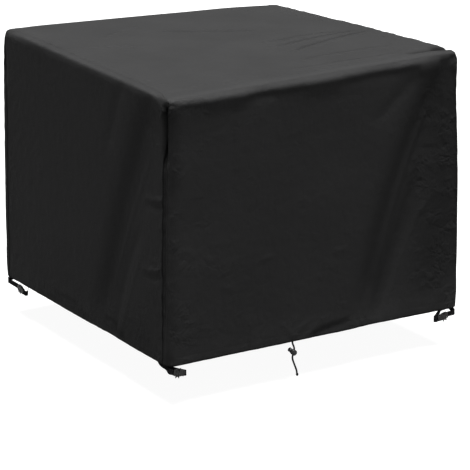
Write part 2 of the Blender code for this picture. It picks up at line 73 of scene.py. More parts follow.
Corner = namedtuple("Corner", "name side_x side_y top_lift hem_out hem_lift")
CORNERS = (
    Corner("front_left", -1, -1, -0.013, 0.008, 0.005),
    Corner("front_right", 1, -1, 0.012, 0.008, -0.002),
    Corner("back_left", -1, 1, 0.012, 0.008, -0.003),
    Corner("back_right", 1, 1, -0.011, 0.008, 0.000),
)

# A fold runs from start over middle to end, each given along its wall and down from the top's edge, or
# along the top and back from its front edge. It has its own spread on its far side, the right one as
# seen from outside, if far is given.
Fold = namedtuple("Fold", "wall start middle end height spread far", defaults=(None,))


def folds(height_unit, *walls):
    """Folds from tables in millimetres; a height is divided by height_unit."""
    return tuple(Fold(wall, *(tuple(value / 1000 for value in row[k:k + 2]) for k in (0, 2, 4)),
                      row[6] / height_unit, *(value / 1000 for value in row[7:]))
                 for wall, *rows in walls for row in rows)


# Rows: start, middle and end, each along and down; height, spread, far spread.
FOLDS = folds(
    1000,
    ("left", (72, 10, 228, 350, 394, 800, -11.2, 46, 120), (100, 180, 203, 380, 332, 660, 1, 9),
     (150, 400, 244, 570, 310, 790, -2.6, 18), (130, 440, 216, 610, 272, 780, 0.7, 10),
     (230, 10, 272, 90, 330, 240, -2.4, 24)),
    ("front", (930, 10, 730, 365, 612, 810, -15, 44, 130), (850, 130, 744, 362, 658, 655, 4.6, 9),
     (820, 300, 728, 530, 626, 800, -4.6, 16, 42), (835, 415, 766, 540, 682, 770, 1.4, 7),
     (795, 55, 723, 113, 645, 175, -2.6, 20), (14, 30, 20, 150, 16, 330, -4.5, 17),
     (30, 21, 475, 24, 900, 22, 3.4, 11), (110, 34, 195, 36, 255, 30, 2.8, 18),
     (265, 30, 298, 30, 345, 30, -2.6, 18), (420, 36, 490, 38, 560, 34, 3, 20),
     (610, 28, 670, 28, 740, 28, -2.2, 18), (800, 38, 845, 40, 885, 34, 4.6, 18),
     (915, 26, 930, 22, 942, 18, -4, 12)),
    ("top", (800, 52, 875, 50, 955, 40, -6, 13)),
    ("left", (20, 0, 475, 1, 930, 0, 4.6, 13)),
    ("right", (50, 22, 225, 330, 360, 660, -10.5, 40, 70), (905, 22, 745, 340, 650, 650, -10.5, 40, 70),
     (850, 160, 790, 390, 700, 620, 2.2, 10)),
    ("back", (50, 22, 220, 330, 350, 660, -10.5, 40, 70), (900, 22, 730, 340, 640, 650, -10.5, 40, 70)),
)
# Small creases on top of the main folds.
CREASES = folds(
    1000,
    ("left", (26, 276, 80, 292, 150, 300, 1, 7), (26, 276, 60, 288, 105, 296, 1.2, 6),
     (26, 302, 80, 312, 140, 318, -1.2, 7.5), (26, 306, 60, 312, 100, 317, -1.4, 6.5),
     (28, 466, 85, 490, 155, 500, 1, 7), (28, 468, 62, 484, 105, 494, 1.2, 6),
     (28, 496, 85, 512, 140, 520, -1.2, 7.5), (28, 500, 62, 510, 100, 518, -1.4, 6.5),
     (790, 470, 760, 476, 735, 474, 1, 6), (640, 716, 560, 712, 480, 716, -1.6, 10),
     (350, 712, 310, 708, 270, 714, -2.2, 9)),
    ("front", (815, 262, 868, 268, 925, 264, -1, 5.9), (921, 225, 914, 268, 896, 311, 1, 5.4),
     (875, 372, 838, 418, 798, 460, 1.2, 5.9), (845, 500, 890, 492, 928, 480, -1, 5.9),
     (930, 350, 905, 400, 885, 430, 0.8, 5.4), (938, 500, 915, 560, 880, 590, 0.8, 5.9),
     (880, 610, 850, 640, 815, 672, 1.1, 5.9), (930, 668, 906, 684, 876, 698, 1.1, 6.3),
     (888, 90, 902, 150, 896, 210, 1.1, 7.2), (922, 60, 934, 130, 930, 190, -1.1, 7.2),
     (285, 490, 308, 486, 330, 484, 1.2, 5), (520, 508, 546, 504, 570, 506, 0.9, 5),
     (165, 545, 185, 550, 205, 560, 1, 6), (200, 40, 196, 170, 197, 330, -1.4, 14),
     (389, 732, 374, 704, 346, 680, 0.9, 6), (391, 732, 396, 694, 399, 660, 0.9, 6),
     (394, 732, 416, 708, 444, 690, 0.9, 6), (445, 738, 505, 724, 585, 716, -2.8, 10.5)),
    ("top", (540, 396, 700, 416, 840, 406, 1.1, 10), (520, 330, 720, 376, 880, 392, 1.3, 10),
     (560, 255, 740, 324, 920, 370, 1.6, 10), (500, 150, 680, 164, 850, 160, 1.1, 9),
     (440, 80, 640, 66, 800, 74, 1.3, 8), (200, 40, 300, 34, 400, 38, 1.1, 8),
     (400, 692, 520, 628, 640, 566, -1.6, 11), (200, 694, 286, 746, 370, 796, 1.1, 10),
     (110, 610, 183, 572, 250, 536, 1, 10)),
    ("right", (130, 300, 85, 292, 34, 290, 2.2, 7), (240, 420, 272, 500, 300, 570, 2, 10),
     (820, 330, 860, 338, 905, 336, 2, 7), (800, 470, 850, 500, 900, 505, -2, 8)),
    ("back", (140, 310, 92, 302, 40, 300, 2, 7), (240, 440, 268, 510, 292, 586, 2.2, 10),
     (830, 360, 868, 366, 912, 364, 2, 7), (800, 520, 850, 545, 905, 550, -2, 8)),
)
# Deep narrow pleats.
PLEATS = folds(
    1000,
    ("left", (13, 16, 15, 85, 19, 190, -10, 10.5), (18, 140, 18, 400, 17, 716, -4.5, 6.5),
     (42, 58, 22, 36, 2, 12, 3, 5), (36, 28, 20, 40, 4, 52, 2.4, 4.5)),
    ("front", (2, 26, 14, 20, 34, 24, -1.8, 5)),
    ("top", (800, 53, 880, 50, 962, 38, -5.2, 7)),
    ("right", (16, 20, 17, 90, 20, 180, -6, 8), (934, 20, 933, 90, 930, 180, -6, 8)),
    ("left", (934, 20, 933, 90, 930, 180, -6, 8)),
)
# Painted shade: the cloth is painted darker along folds, pleats, wrinkles and the cover's edges, where
# shade falls; the height is the share of painted shade.
PAINTED_SHADES = folds(
    1,
    ("left", (12, 16, 15, 90, 19, 200, 0.95, 13), (19, 160, 20, 400, 18, 720, 0.15, 8.5)),
    ("front", (10, 30, 16, 150, 14, 330, 0.34, 20), (12, 250, 14, 480, 12, 720, 0.18, 16)),
    ("top", (972, 34, 890, 48, 790, 52, 1.0, 11), (974, 36, 940, 44, 870, 52, 1.0, 23),
     (10, 930, 16, 936, 26, 944, 0.8, 10)),
    ("front", (950, 40, 948, 400, 950, 740, 0.6, 11), (925, 60, 890, 400, 820, 730, 0.34, 90),
     (888, 50, 722, 360, 606, 790, 0.24, 34), (812, 320, 732, 520, 640, 780, 0.2, 20)),
    ("left", (95, 30, 238, 345, 392, 790, 0.16, 30), (300, 735, 200, 700, 60, 735, 0.22, 40)),
    ("top", (590, 400, 710, 424, 860, 420, 0.2, 9), (560, 338, 730, 384, 900, 402, 0.26, 9),
     (570, 262, 740, 334, 930, 380, 0.28, 9), (520, 158, 680, 174, 850, 168, 0.14, 8),
     (440, 88, 640, 76, 800, 84, 0.14, 7), (400, 690, 520, 626, 640, 562, 0.14, 16)),
    ("front", (448, 738, 505, 727, 585, 720, 0.4, 9.5)),
    ("left", (440, 726, 560, 722, 700, 728, 0.34, 8), (230, 726, 300, 718, 390, 726, 0.36, 9)),
)

# ---- Seams, hem and fine relief ----
SEAM_BAND = 0.0068         # half width of the doubled cloth along a seam
SEAM_RAISE = 0.0007
SEAM_EDGE = 0.0012         # width over which the band's edge rises
STITCH_ROW = 0.0046        # from the seam line to each row of stitches
STITCH_DIP = 0.0004
STITCH_DIP_WIDE = 0.0010
SEAM_CHANNEL = 0.0020
SEAM_CHANNEL_WIDE = 0.0024
PUCKER_REACH = 0.020
PUCKER_HEIGHT = 0.0017
PUCKER_LENGTH = 0.017
HEM_BULGE = 0.0001
HEM_STEP = 0.006           # height over which the cloth thickens into the casing
HEM_ROW_ENDS = 0.004       # the casing's row of stitches stops this far short of a panel's edge
HEM_ROW_STEP = 0.002
HEM_GATHER = 0.0010
HEM_GATHER_LENGTH = 0.024
HEM_FLARE = 0.0012
HEM_FLARE_REACH = 0.070
DRAPE_HEIGHT = 0.0009      # slow waves over all the cloth
DRAPE_LENGTH = 0.140
SEAM_START = 0.014         # the upright seams' stitches and tapes begin this far down
STITCH_LIFT = 0.00006
STITCH_RINGS = ((-0.62, 0.78, 0.75), (0.0, 1.0, 1.0), (0.62, 0.78, 0.75))  # along, wide, high
TAPE_STEP = 0.004
TAPE_SPARE = 4
TAPE_CLEAR = 0.0006
TAPE_THICK = 0.0005
TAPE_END = 0.0024          # the wall tapes end this far above the hem's edge
# Painted shade, and pale rubbing that on raised creases is also a painted highlight: share or height,
# then width.
SEAM_SHADE, SEAM_SHADE_WIDE = 0.7, 0.0028
HEM_SHADE, HEM_SHADE_WIDE = 0.9, 0.0046
RUBBED_AND_HIGHLIT_CREASE = 0.0034     # a crease this high is pale along its whole ridge: rubbing and a painted highlight
HEM_RUB_ABOVE, HEM_RUB_WIDE = 0.0070, 0.0042
EDGE_RUB_WIDE = 0.0080
CORNER_RUB_REACH = 0.10
# The panels' grids: distances from an edge at which there are lines, and steps between the others.
GRID_FINE = (0.0, 0.0013, 0.0027, 0.0041, 0.0052, 0.0066, 0.0082, 0.0106, 0.0140)
WRAP_STEP = 0.0068
END_STEP = 0.0048
SIDE_ZONE = 0.060          # the wrap panel's columns are closer together this near its corners
SIDE_COLUMNS = 12
MIDDLE_COLUMNS = 127
NOISE_SIZE = 64            # sides of the table of random values

# ---- Leg straps ----
LegStrap = namedtuple("LegStrap", "corner runs_along reach")
LEG_STRAPS = (
    LegStrap("front_left", "x", 0.000),
    LegStrap("front_right", "x", 0.020),
    LegStrap("back_left", "y", 0.065),
    LegStrap("back_right", "x", 0.020),
)
REACH_FROM = 0.0110
REACH_OVER = 0.0025
SEWN_IN = 0.0045 + GAP + 0.00075   # from the wall's outside to the webbing's middle
# Straps: along the hem and inward from the corner, below the hem, and where the webbing faces.
LONG_STRAP = (
    (SEWN_IN, 0.0370, -0.0170, 0), (SEWN_IN, 0.0370, -0.0060, 0), (SEWN_IN + 0.0004, 0.0350, 0.0012, 0),
    (SEWN_IN + 0.0018, 0.0285, 0.0070, 0), (SEWN_IN + 0.0020, 0.0200, 0.0098, 0),
    (SEWN_IN + 0.0006, 0.0125, 0.0122, 4), (0.0066, 0.0062, 0.0140, 32), (0.0105, 0.0032, 0.0153, 72),
    (0.0150, 0.0026, 0.0165, 90),
)
SHORT_STRAP = (
    (0.0490, 0.0026, 0.0250, 90), (0.0540, 0.0034, 0.0262, 112), (0.0576, 0.0080, 0.0266, 180),
    (0.0540, 0.0128, 0.0262, 246), (0.0480, 0.0160, 0.0248, 256), (0.0340, 0.0240, 0.0205, 252),
    (0.0200, 0.0315, 0.0145, 245), (0.0105, 0.0400, 0.0090, 215), (0.0062, 0.0490, 0.0045, 188),
    (SEWN_IN, 0.0570, 0.0005, 180), (SEWN_IN, 0.0600, -0.0060, 180), (SEWN_IN, 0.0600, -0.0170, 180),
)
STRAP_STEPS = 8
SOCKET_LONG = 0.0215

# ---- Draw cord and its lock ----
CORD_EXIT_ALONG = 0.389
CORD_ROUTE = (
    (0.0000, 0.0000), (0.0003, 0.0040), (0.0016, 0.0085), (0.0036, 0.0130), (0.0053, 0.0175),
    (0.0060, 0.0226), (0.0048, 0.0272), (0.0036, 0.0318), (0.0024, 0.0364), (0.0012, 0.0410),
    (0.0004, 0.0455), (0.0008, 0.0505), (0.0024, 0.0560), (0.0047, 0.0622), (0.0074, 0.0690),
    (0.0100, 0.0755), (0.0126, 0.0820), (0.0146, 0.0885), (0.0158, 0.0955),
)
LOCK_ON_ROUTE = 7
LOCK_TILT = math.radians(40)
LOCK_CROSSING = 0.0012
HOLE_RADIUS = 0.00275
# The lock's barrel: (along its axis, radius), from its mouth round to its closed end.
BARREL_OUTSIDE = (
    (-0.0094, 0.0054), (-0.0093, 0.0058), (-0.0089, 0.0062), (-0.0078, 0.0064), (-0.0072, 0.0064),
    (-0.0069, 0.0061), (-0.0064, 0.0061), (-0.0061, 0.0068), (-0.0040, 0.0072), (-0.0015, 0.0077),
    (0.0002, 0.0080), (0.0020, 0.0082), (0.0036, 0.0083), (0.0050, 0.0083), (0.0063, 0.0081),
    (0.0075, 0.0076), (0.0084, 0.0069), (0.0092, 0.0058), (0.0098, 0.0044), (0.0101, 0.0032),
    (0.0103, 0.0016),
)
BORE_RADIUS = 0.0038
BORE_FLOOR = -0.0029
STEM_RADIUS = BORE_RADIUS - GAP
STEM_END = -0.0064
BUTTON_HEAD = (
    (-0.0166, 0.0022), (-0.0167, 0.0036), (-0.0168, 0.0046), (-0.0167, 0.0053), (-0.0163, 0.0059),
    (-0.0157, 0.0061), (-0.0150, 0.0062), (-0.0143, 0.0062), (-0.0138, 0.0060), (-0.0135, 0.0057),
    (-0.0131, 0.0046), (-0.0129, 0.0036),
)
CORD_SIDES = 32
CORD_STEP = 0.0006
BRAID_PITCH = 0.0045
KNOT_LONG = 0.0080
KNOT_TURNS = 2.15
KNOT_CORE = 0.0021
KNOT_STRAND = 0.00125
TURN_SIDES = 48

# ---- Camera: fitted to the photograph's view ----
VIEW_AZIMUTH = 0.5631
VIEW_ELEVATION = 0.2989
VIEW_DISTANCE = 6.1075
VIEW_RIGHT = 0.0252
VIEW_DOWN = 0.1931
VIEW_LENS = 161.6
SENSOR = 36.0
KEY_AZIMUTH = math.radians(-25)  # the soft key light is nearly overhead
KEY_LEAN = math.radians(4.5)
KEY_SPREAD = 40.0
KEY_STRENGTH = 15.7
ROOM_AZIMUTH = math.radians(-15)  # the room is brightest there
ROOM_BACK = 0.02                 # how bright the room is behind the cover and in front of it
ROOM_FRONT = 0.30
FLOOR_SIZE = 40.0
FLOOR_GREY = 0.12
FLOOR_GLOW = 0.945
DEEP_SHADE = (0.0003, 0.0003, 0.0003, 1.0)


# ---- What a user can change ----
def length(name, description, default):
    """A size in metres for the panel."""
    return bpy.props.FloatProperty(name=name, description=description, default=default, min=0.0,
                                   precision=4, unit="LENGTH")


def colour(name, description, default):
    """A linear colour for the panel."""
    return bpy.props.FloatVectorProperty(name=name, description=description, default=(*default, 1.0),
                                         size=4, min=0.0, max=1.0, subtype="COLOR")


class CoverSizes(bpy.types.PropertyGroup):
    """Sizes of the cover and its fittings."""
    width: length("Width", "Front wall, corner to corner", 0.950)
    depth: length("Depth", "Front wall to back wall", 0.950)
    drop: length("Drop", "Top to hem", 0.743)
    cloth: length("Cloth", "Thickness of the coated cloth", 0.0016)
    top_roll: length("Top roll", "Radius of the soft roll round the top", 0.026)
    casing: length("Casing", "Height of the casing that the draw cord runs in", 0.024)
    casing_thick: length("Casing thickness", "The casing with the cord inside it", 0.0045)
    stitch: length("Stitch", "Length of one stitch", 0.0031)
    stitch_step: length("Stitch step", "From one stitch to the next", 0.0045)
    thread: length("Thread", "Thickness of the sewing thread", 0.0007)
    webbing: length("Webbing", "Width of the leg straps", 0.015)
    webbing_thick: length("Webbing thickness", "Thickness of the leg straps", 0.0015)
    buckle: length("Buckle", "Width of a buckle", 0.0185)
    buckle_thick: length("Buckle thickness", "Thickness of a buckle", 0.0076)
    cord: length("Cord", "Thickness of the draw cord", 0.0050)
    floor_drop: length("Floor", "From the underside of the top down to the floor", 0.860)


class CoverColours(bpy.types.PropertyGroup):
    """Colours of the finishes and of the studio."""
    cloth: colour("Cloth", "Coated polyester", (0.0115, 0.0115, 0.0116))
    thread: colour("Thread", "Sewing thread", (0.0110, 0.0110, 0.0112))
    lining: colour("Seam tape", "Tape sealed over the seams inside", (0.050, 0.050, 0.052))
    webbing: colour("Webbing", "Leg straps", (0.006, 0.006, 0.0065))
    buckle: colour("Buckle", "Moulded buckles", (0.002, 0.002, 0.0022))
    cord: colour("Cord", "Braided draw cord", (0.0015, 0.0015, 0.0017))
    lock: colour("Cord lock", "Moulded cord lock", (0.006, 0.006, 0.0065))
    floor: colour("Floor", "Studio floor and backdrop", (1.0, 1.0, 1.0))


def sizes():
    """The sizes in use."""
    return bpy.context.scene.cover_sizes


def colours():
    """The colours in use."""
    return bpy.context.scene.cover_colours


def halves():
    """Half the width and half the depth."""
    return sizes().width / 2, sizes().depth / 2


# ---- Small helpers ----
def ramp(value):
    """Smooth rise from 0 to 1 as value goes from 0 to 1."""
    level = np.clip(value, 0.0, 1.0)
    return level * level * (3.0 - 2.0 * level)


def smooth_curve(points, steps):
    """Points on a smooth curve through the given ones, with steps for each stretch."""
    given = np.array(points, dtype=float)
    before = np.vstack([2 * given[0] - given[1], given[:-1]])
    after = np.vstack([given[1:], 2 * given[-1] - given[-2]])
    slopes = (after - before) / 2
    curve = []
    for index in range(len(given) - 1):
        for step in range(steps):
            t = step / steps
            curve.append(
                given[index] * (2 * t**3 - 3 * t**2 + 1) + slopes[index] * (t**3 - 2 * t**2 + t)
                + given[index + 1] * (3 * t**2 - 2 * t**3) + slopes[index + 1] * (t**3 - t**2))
    curve.append(given[-1])
    return np.array(curve)


def walked(points):
    """Distance along a line to each of its points."""
    return np.concatenate([[0.0], np.cumsum(np.linalg.norm(np.diff(points, axis=0), axis=1))])


def at_marks(marks, lengths, values):
    """Values at marks along a line."""
    return np.stack([np.interp(marks, lengths, values[:, k]) for k in range(3)], axis=1)


def evenly(points, step):
    """The same line with points about a step apart."""
    lengths = walked(points)
    marks = np.linspace(0.0, lengths[-1], max(2, round(lengths[-1] / step) + 1))
    return at_marks(marks, lengths, points)


def waves(u, v, seed):
    """Smooth random values from -1 to 1 over a plane; one wave is about two units long."""
    table = np.random.default_rng(seed).uniform(-1.0, 1.0, (NOISE_SIZE, NOISE_SIZE))
    iu, iv = np.floor(u).astype(int), np.floor(v).astype(int)
    fu, fv = ramp(u - iu), ramp(v - iv)
    rows = []
    for j in (0, 1):
        near = table[iu % NOISE_SIZE, (iv + j) % NOISE_SIZE]
        far = table[(iu + 1) % NOISE_SIZE, (iv + j) % NOISE_SIZE]
        rows.append(near + (far - near) * fu)
    return rows[0] + (rows[1] - rows[0]) * fv


def grid_faces(rows, columns):
    """Squares between a grid's points."""
    return [(r * columns + c, r * columns + c + 1, (r + 1) * columns + c + 1, (r + 1) * columns + c)
            for r in range(rows - 1) for c in range(columns - 1)]


def grid_rim(rows, columns):
    """A grid's outermost points, once round."""
    return ([(0, c) for c in range(columns)] + [(r, columns - 1) for r in range(1, rows)]
            + [(rows - 1, c) for c in range(columns - 2, -1, -1)]
            + [(r, 0) for r in range(rows - 2, 0, -1)])


def tube_faces(rings, sides):
    """Faces between rings of points, with both ends closed."""
    faces = [(i * sides + k, i * sides + (k + 1) % sides, (i + 1) * sides + (k + 1) % sides,
              (i + 1) * sides + k) for i in range(rings - 1) for k in range(sides)]
    last = (rings - 1) * sides
    return faces + [tuple(reversed(range(sides))), tuple(last + k for k in range(sides))]


def mesh_object(name, points, faces, material, uv=None, sharp_angle=60, marks=None):
    """A smoothly shaded object with its faces outwards, with flat cloth coordinates if given."""
    mesh = bpy.data.meshes.new(name)
    mesh.from_pydata([tuple(p) for p in points], [], faces)
    mesh.materials.append(material)
    if uv is not None:
        layer = mesh.uv_layers.new(name="Flat")
        corners = np.empty(len(mesh.loops), dtype=np.int32)
        mesh.loops.foreach_get("vertex_index", corners)
        layer.data.foreach_set("uv", np.asarray(uv, dtype=np.float32)[corners].ravel())
    for label, values in (marks or {}).items():
        layer = mesh.attributes.new(label, "FLOAT", "POINT")
        layer.data.foreach_set("value", np.asarray(values, dtype=np.float32))
    mesh.shade_smooth()
    mesh.set_sharp_from_angle(angle=math.radians(sharp_angle))
    made = bpy.data.objects.new(name, mesh)
    bpy.context.scene.collection.objects.link(made)
    outward_faces(made)
    return made


def outward_faces(obj):
    """Turn every closed shell's faces outwards."""
    edit = bmesh.new()
    edit.from_mesh(obj.data)
    bmesh.ops.recalc_face_normals(edit, faces=edit.faces)
    edit.to_mesh(obj.data)
    edit.free()


# ---- The cloth's shape ----
def on_wall(wall, along, down):
    """Place on the sharp-edged box for a point of a wall, or of the top."""
    half_x, half_y = halves()
    return np.array({
        "front": (along - half_x, -half_y, -down), "back": (along - half_x, half_y, -down),
        "left": (-half_x, along - half_y, -down), "right": (half_x, along - half_y, -down),
        "top": (along - half_x, down - half_y, 0.0)}[wall])


def corner_radius(down):
    """Radius of the upright corners: soft at the top, sharper below, soft again at the hem."""
    roll = sizes().top_roll
    at_top = (roll - CORNER_ROUND) * (1.0 - ramp(down / TOP_ROLL_REACH))
    at_hem = (HEM_ROUND - CORNER_ROUND) * ramp((down - sizes().drop + HEM_ROUND_REACH) / HEM_ROUND_REACH)
    return CORNER_ROUND + at_top + at_hem


def round_edges(points):
    """Move points of the sharp-edged box onto the rounded one; also give the outward directions."""
    half_x, half_y = halves()
    roll = sizes().top_roll
    radius = corner_radius(-points[:, 2])
    core = points.copy()
    core[:, 0] = np.clip(points[:, 0], radius - half_x, half_x - radius)
    core[:, 1] = np.clip(points[:, 1], radius - half_y, half_y - radius)
    core[:, 2] = np.minimum(points[:, 2], -roll)
    radii = np.stack([radius, radius, np.full_like(radius, roll)], axis=1)
    lean = (points - core) / radii
    lean /= np.linalg.norm(lean, axis=1, keepdims=True)
    outward = lean / radii
    outward /= np.linalg.norm(outward, axis=1, keepdims=True)
    return core + radii * lean, outward


def fold_heights(points, folds):
    """How far folds raise or sink each point of the sharp-edged box."""
    heights = np.zeros(len(points))
    for fold in folds:
        marks = (fold.start, fold.middle, fold.end)
        start, middle, end = (on_wall(fold.wall, *place) for place in marks)
        control = 2 * middle - (start + end) / 2
        reach_of_fold = 2.6 * max(fold.spread, fold.far or 0.0) + np.linalg.norm(end - start) / 2
        near = np.linalg.norm(points - middle, axis=1) < reach_of_fold * 1.5
        close = points[near]
        best = np.full(len(close), np.inf)
        where, side = np.zeros(len(close)), np.zeros(len(close))
        shares = np.linspace(0.0, 1.0, FOLD_POINTS)
        path = [(1 - t) ** 2 * start + 2 * t * (1 - t) * control + t * t * end for t in shares]
        for index in range(FOLD_POINTS - 1):
            stretch = path[index + 1] - path[index]
            reach = np.clip((close - path[index]) @ stretch / (stretch @ stretch), 0.0, 1.0)
            offset = close - path[index] - reach[:, None] * stretch
            away = np.linalg.norm(offset, axis=1)
            nearer = away < best
            best = np.where(nearer, away, best)
            side = np.where(nearer, np.cross(stretch, offset) @ OUT_OF_WALL[fold.wall], side)
            where = np.where(nearer, (index + reach) / (FOLD_POINTS - 1), where)
        taper = ramp(where / FOLD_FADE + FOLD_BEGINS) * ramp((1.0 - where) / FOLD_FADE)
        spread = np.where(side > 0, fold.far or fold.spread, fold.spread)
        heights[near] += fold.height * taper * np.exp(-(best / spread) ** 2)
    return heights


def hang(points):
    """Carry points of the even box to where the uneven cover has them."""
    across = points[:, 0] / sizes().width + 0.5
    back = points[:, 1] / sizes().depth + 0.5
    down = -points[:, 2] / sizes().drop
    moved = points.copy()
    for corner in CORNERS:
        share_x = across if corner.side_x > 0 else 1.0 - across
        share_y = back if corner.side_y > 0 else 1.0 - back
        share = share_x * share_y
        moved[:, 0] += share * down * corner.side_x * corner.hem_out
        moved[:, 1] += share * down * corner.side_y * corner.hem_out
        moved[:, 2] += share * ((1.0 - down) * corner.top_lift + down * corner.hem_lift)
    moved[:, 2] += sizes().cloth
    return moved


def seam_on_top(y):
    """How far in from the box's edge the top seams lie."""
    return SEAM_ON_TOP * ramp((sizes().depth / 2 - np.abs(y)) / SEAM_ON_TOP_REACH)


def seam_on_wall(down):
    """How far round the corner the upright seams lie."""
    return SEAM_ON_WALL * ramp(down / SEAM_ON_WALL_REACH)


def seam_distances(points):
    """Distance of each point from the upright seams and from the top seams."""
    half_x, half_y = halves()
    x, y, down = np.abs(points[:, 0]), np.abs(points[:, 1]), -points[:, 2]
    on_end = (x > half_x - 1e-6) & (down > 1e-9)
    on_top = down <= 1e-9
    around = np.where(on_end, half_x + half_y - y, x)
    tip = np.hypot(half_x - x, half_y - y) + down
    upright = np.where(on_top, tip, np.abs(around - half_x - seam_on_wall(down)))
    level = np.where(on_top, np.abs(half_x - seam_on_top(y) - x),
                     np.where(on_end, down + seam_on_top(y), tip))
    return upright, level


def fine_relief(points):
    """Raised seams, puckers beside them, the gathered casing, small creases and slow waves."""
    upright, level = seam_distances(points)
    x, y, down = points[:, 0], points[:, 1], -points[:, 2]
    seam = np.minimum(upright, level)
    height = SEAM_RAISE * (1.0 - ramp((seam - SEAM_BAND + SEAM_EDGE) / SEAM_EDGE))
    height -= STITCH_DIP * np.exp(-((seam - STITCH_ROW) / STITCH_DIP_WIDE) ** 2)
    deep = np.where(upright < level, SEAM_CHANNEL, SEAM_CHANNEL * 0.1)
    height -= deep * np.exp(-(seam / SEAM_CHANNEL_WIDE) ** 2)
    for away, along, seed in ((upright, down, 11), (level, y + np.sign(x) * 2.0, 12)):
        pucker = waves(along / PUCKER_LENGTH + 9.0, away / 0.030, seed)
        height += PUCKER_HEIGHT * pucker * np.exp(-away / PUCKER_REACH) * ramp(away / 0.004 + 0.3)
    around = np.where(np.abs(x) >= sizes().width / 2 - 1e-6, y + 3.0, x + np.sign(y))
    above_hem = sizes().drop - down
    casing = sizes().casing
    gather = waves(around / HEM_GATHER_LENGTH, above_hem / 0.060, 13)
    fine_gather = waves(around / (HEM_GATHER_LENGTH * 0.45), above_hem / 0.030, 14)
    fade = np.exp(-np.maximum(above_hem - casing, 0.0) / 0.022)
    height += HEM_GATHER * (0.7 * gather + 0.4 * fine_gather) * fade
    height += HEM_BULGE * ramp((casing - above_hem) / HEM_STEP) * ramp(above_hem / 0.010 + 0.2)
    height -= 0.3 * STITCH_DIP * np.exp(-((above_hem - casing) / 0.0012) ** 2)
    height += HEM_FLARE * ramp((HEM_FLARE_REACH - above_hem) / HEM_FLARE_REACH)
    height += DRAPE_HEIGHT * waves((x + 0.31 * y) / DRAPE_LENGTH + 20.0,
                                   (down + 0.73 * y) / DRAPE_LENGTH + 20.0, 15)
    return height + fold_heights(points, CREASES) + fold_heights(points, PLEATS)


def cloth_height(points):
    """How far the cloth's outer face lies from the even box."""
    return fold_heights(points, FOLDS) + fine_relief(points)


def lowest_nearby(values, reach=2):
    """For each place in a grid, the lowest value within reach lines of it."""
    for axis in (0, 1):
        padded = np.pad(values, [(reach, reach) if k == axis else (0, 0) for k in (0, 1)], mode="edge")
        count = values.shape[axis]
        shifted = [np.take(padded, range(k, k + count), axis=axis) for k in range(2 * reach + 1)]
        values = np.min(shifted, axis=0)
    return values


def crumpling(points):
    """Share from 0 to 1 of how crumpled the cloth is: most at the corners and above the hem there."""
    half_x, half_y = halves()
    x, y, down = points[:, 0], points[:, 1], -points[:, 2]
    from_edge = np.where(np.abs(y) >= half_y - 1e-6, half_x - np.abs(x), half_y - np.abs(y))
    near_edge = np.exp(-np.maximum(from_edge, 0.0) / 0.085)
    front_right = (y < 1e-3 - half_y) * ramp((x - 0.25) / 0.14) * ramp(down / 0.05)
    near_hem = np.exp(-(sizes().drop - down) / 0.030)
    on_top = (down <= 1e-9) * ramp((x - 0.02) / 0.4) * ramp((0.15 - y) / 0.4)
    shares = 0.10 + 0.42 * near_edge * (down > 0) + 0.36 * front_right + 0.30 * near_hem + 0.25 * on_top
    return np.clip(shares, 0.0, 1.0)


def darkening(points):
    """Share from 0 to 1 of shade in the seam channels, in the pleats and at the hem's edge."""
    upright, _ = seam_distances(points)
    seam = SEAM_SHADE * np.exp(-(upright / SEAM_SHADE_WIDE) ** 2)
    above_hem = np.maximum(sizes().drop + points[:, 2], 0.0)
    edge = HEM_SHADE * np.exp(-(above_hem / HEM_SHADE_WIDE) ** 2)
    return np.clip(np.maximum(seam, edge) + fold_heights(points, PAINTED_SHADES), 0.0, 1.0)


def rubbing_and_highlight(points):
    """Share from 0 to 1 of paleness: rubbing at the side edges and above the hem's edge, and on raised
    creases rubbing together with a painted highlight.
    """
    half_x, half_y = halves()
    x, y, down = points[:, 0], points[:, 1], -points[:, 2]
    raised = np.clip(fold_heights(points, CREASES) / RUBBED_AND_HIGHLIT_CREASE, 0.0, 1.0)
    above_hem = np.maximum(sizes().drop - down, 0.0)
    corner = np.exp(-np.hypot(half_x - np.abs(x), half_y - np.abs(y)) / CORNER_RUB_REACH)
    patchy = waves((x + y) / 0.024 + 40.0, down / 0.012 + 5.0, 21)
    band = np.exp(-((above_hem - HEM_RUB_ABOVE) / HEM_RUB_WIDE) ** 2)
    band *= ramp(1.6 * patchy + 1.1 * corner - 0.1)
    edge = np.exp(-(np.hypot(half_x - np.abs(x), down) / EDGE_RUB_WIDE) ** 2)
    edge *= ramp(1.6 * patchy + 0.1)
    return np.clip(0.6 * raised + band + 0.9 * edge, 0.0, 1.0)


def cloth_thickness(points):
    """Thickness of the cloth, which grows to that of the casing at the hem."""
    in_casing = ramp((sizes().casing - sizes().drop - points[:, 2]) / HEM_STEP)
    return sizes().cloth + (sizes().casing_thick - sizes().cloth) * in_casing


def cloth_skins(grid):
    """Outer and inner points of the cloth for a grid of places on the sharp-edged box."""
    shape = grid.shape
    points = grid.reshape(-1, 3)
    even, outward = round_edges(points)
    height = cloth_height(points)
    under = lowest_nearby(height.reshape(shape[:2])).reshape(-1)
    full = sizes().casing_thick
    above_hem = np.maximum(sizes().drop + points[:, 2], 0.0)
    edge = np.minimum(above_hem, full / 2)
    rounded = np.sqrt(np.maximum(full ** 2 / 4 - (full / 2 - edge) ** 2, (0.1 * full) ** 2))
    at_edge = above_hem < full / 2
    start = np.where(at_edge, full / 2 - rounded, 0.0)
    end = np.where(at_edge, full / 2 + rounded, cloth_thickness(points))
    outer = hang(even + outward * height[:, None] - outward * start[:, None])
    inner = hang(even + outward * under[:, None] - outward * end[:, None])
    return outer.reshape(shape), inner.reshape(shape)


# ---- The cloth's grids ----
def stretch_lines(*stretches):
    """Distances from several (end, step) stretches, one after another."""
    lines = [0.0]
    for end, step in stretches:
        count = max(1, round((end - lines[-1]) / step))
        lines += list(np.linspace(lines[-1], end, count + 1)[1:])
    return lines


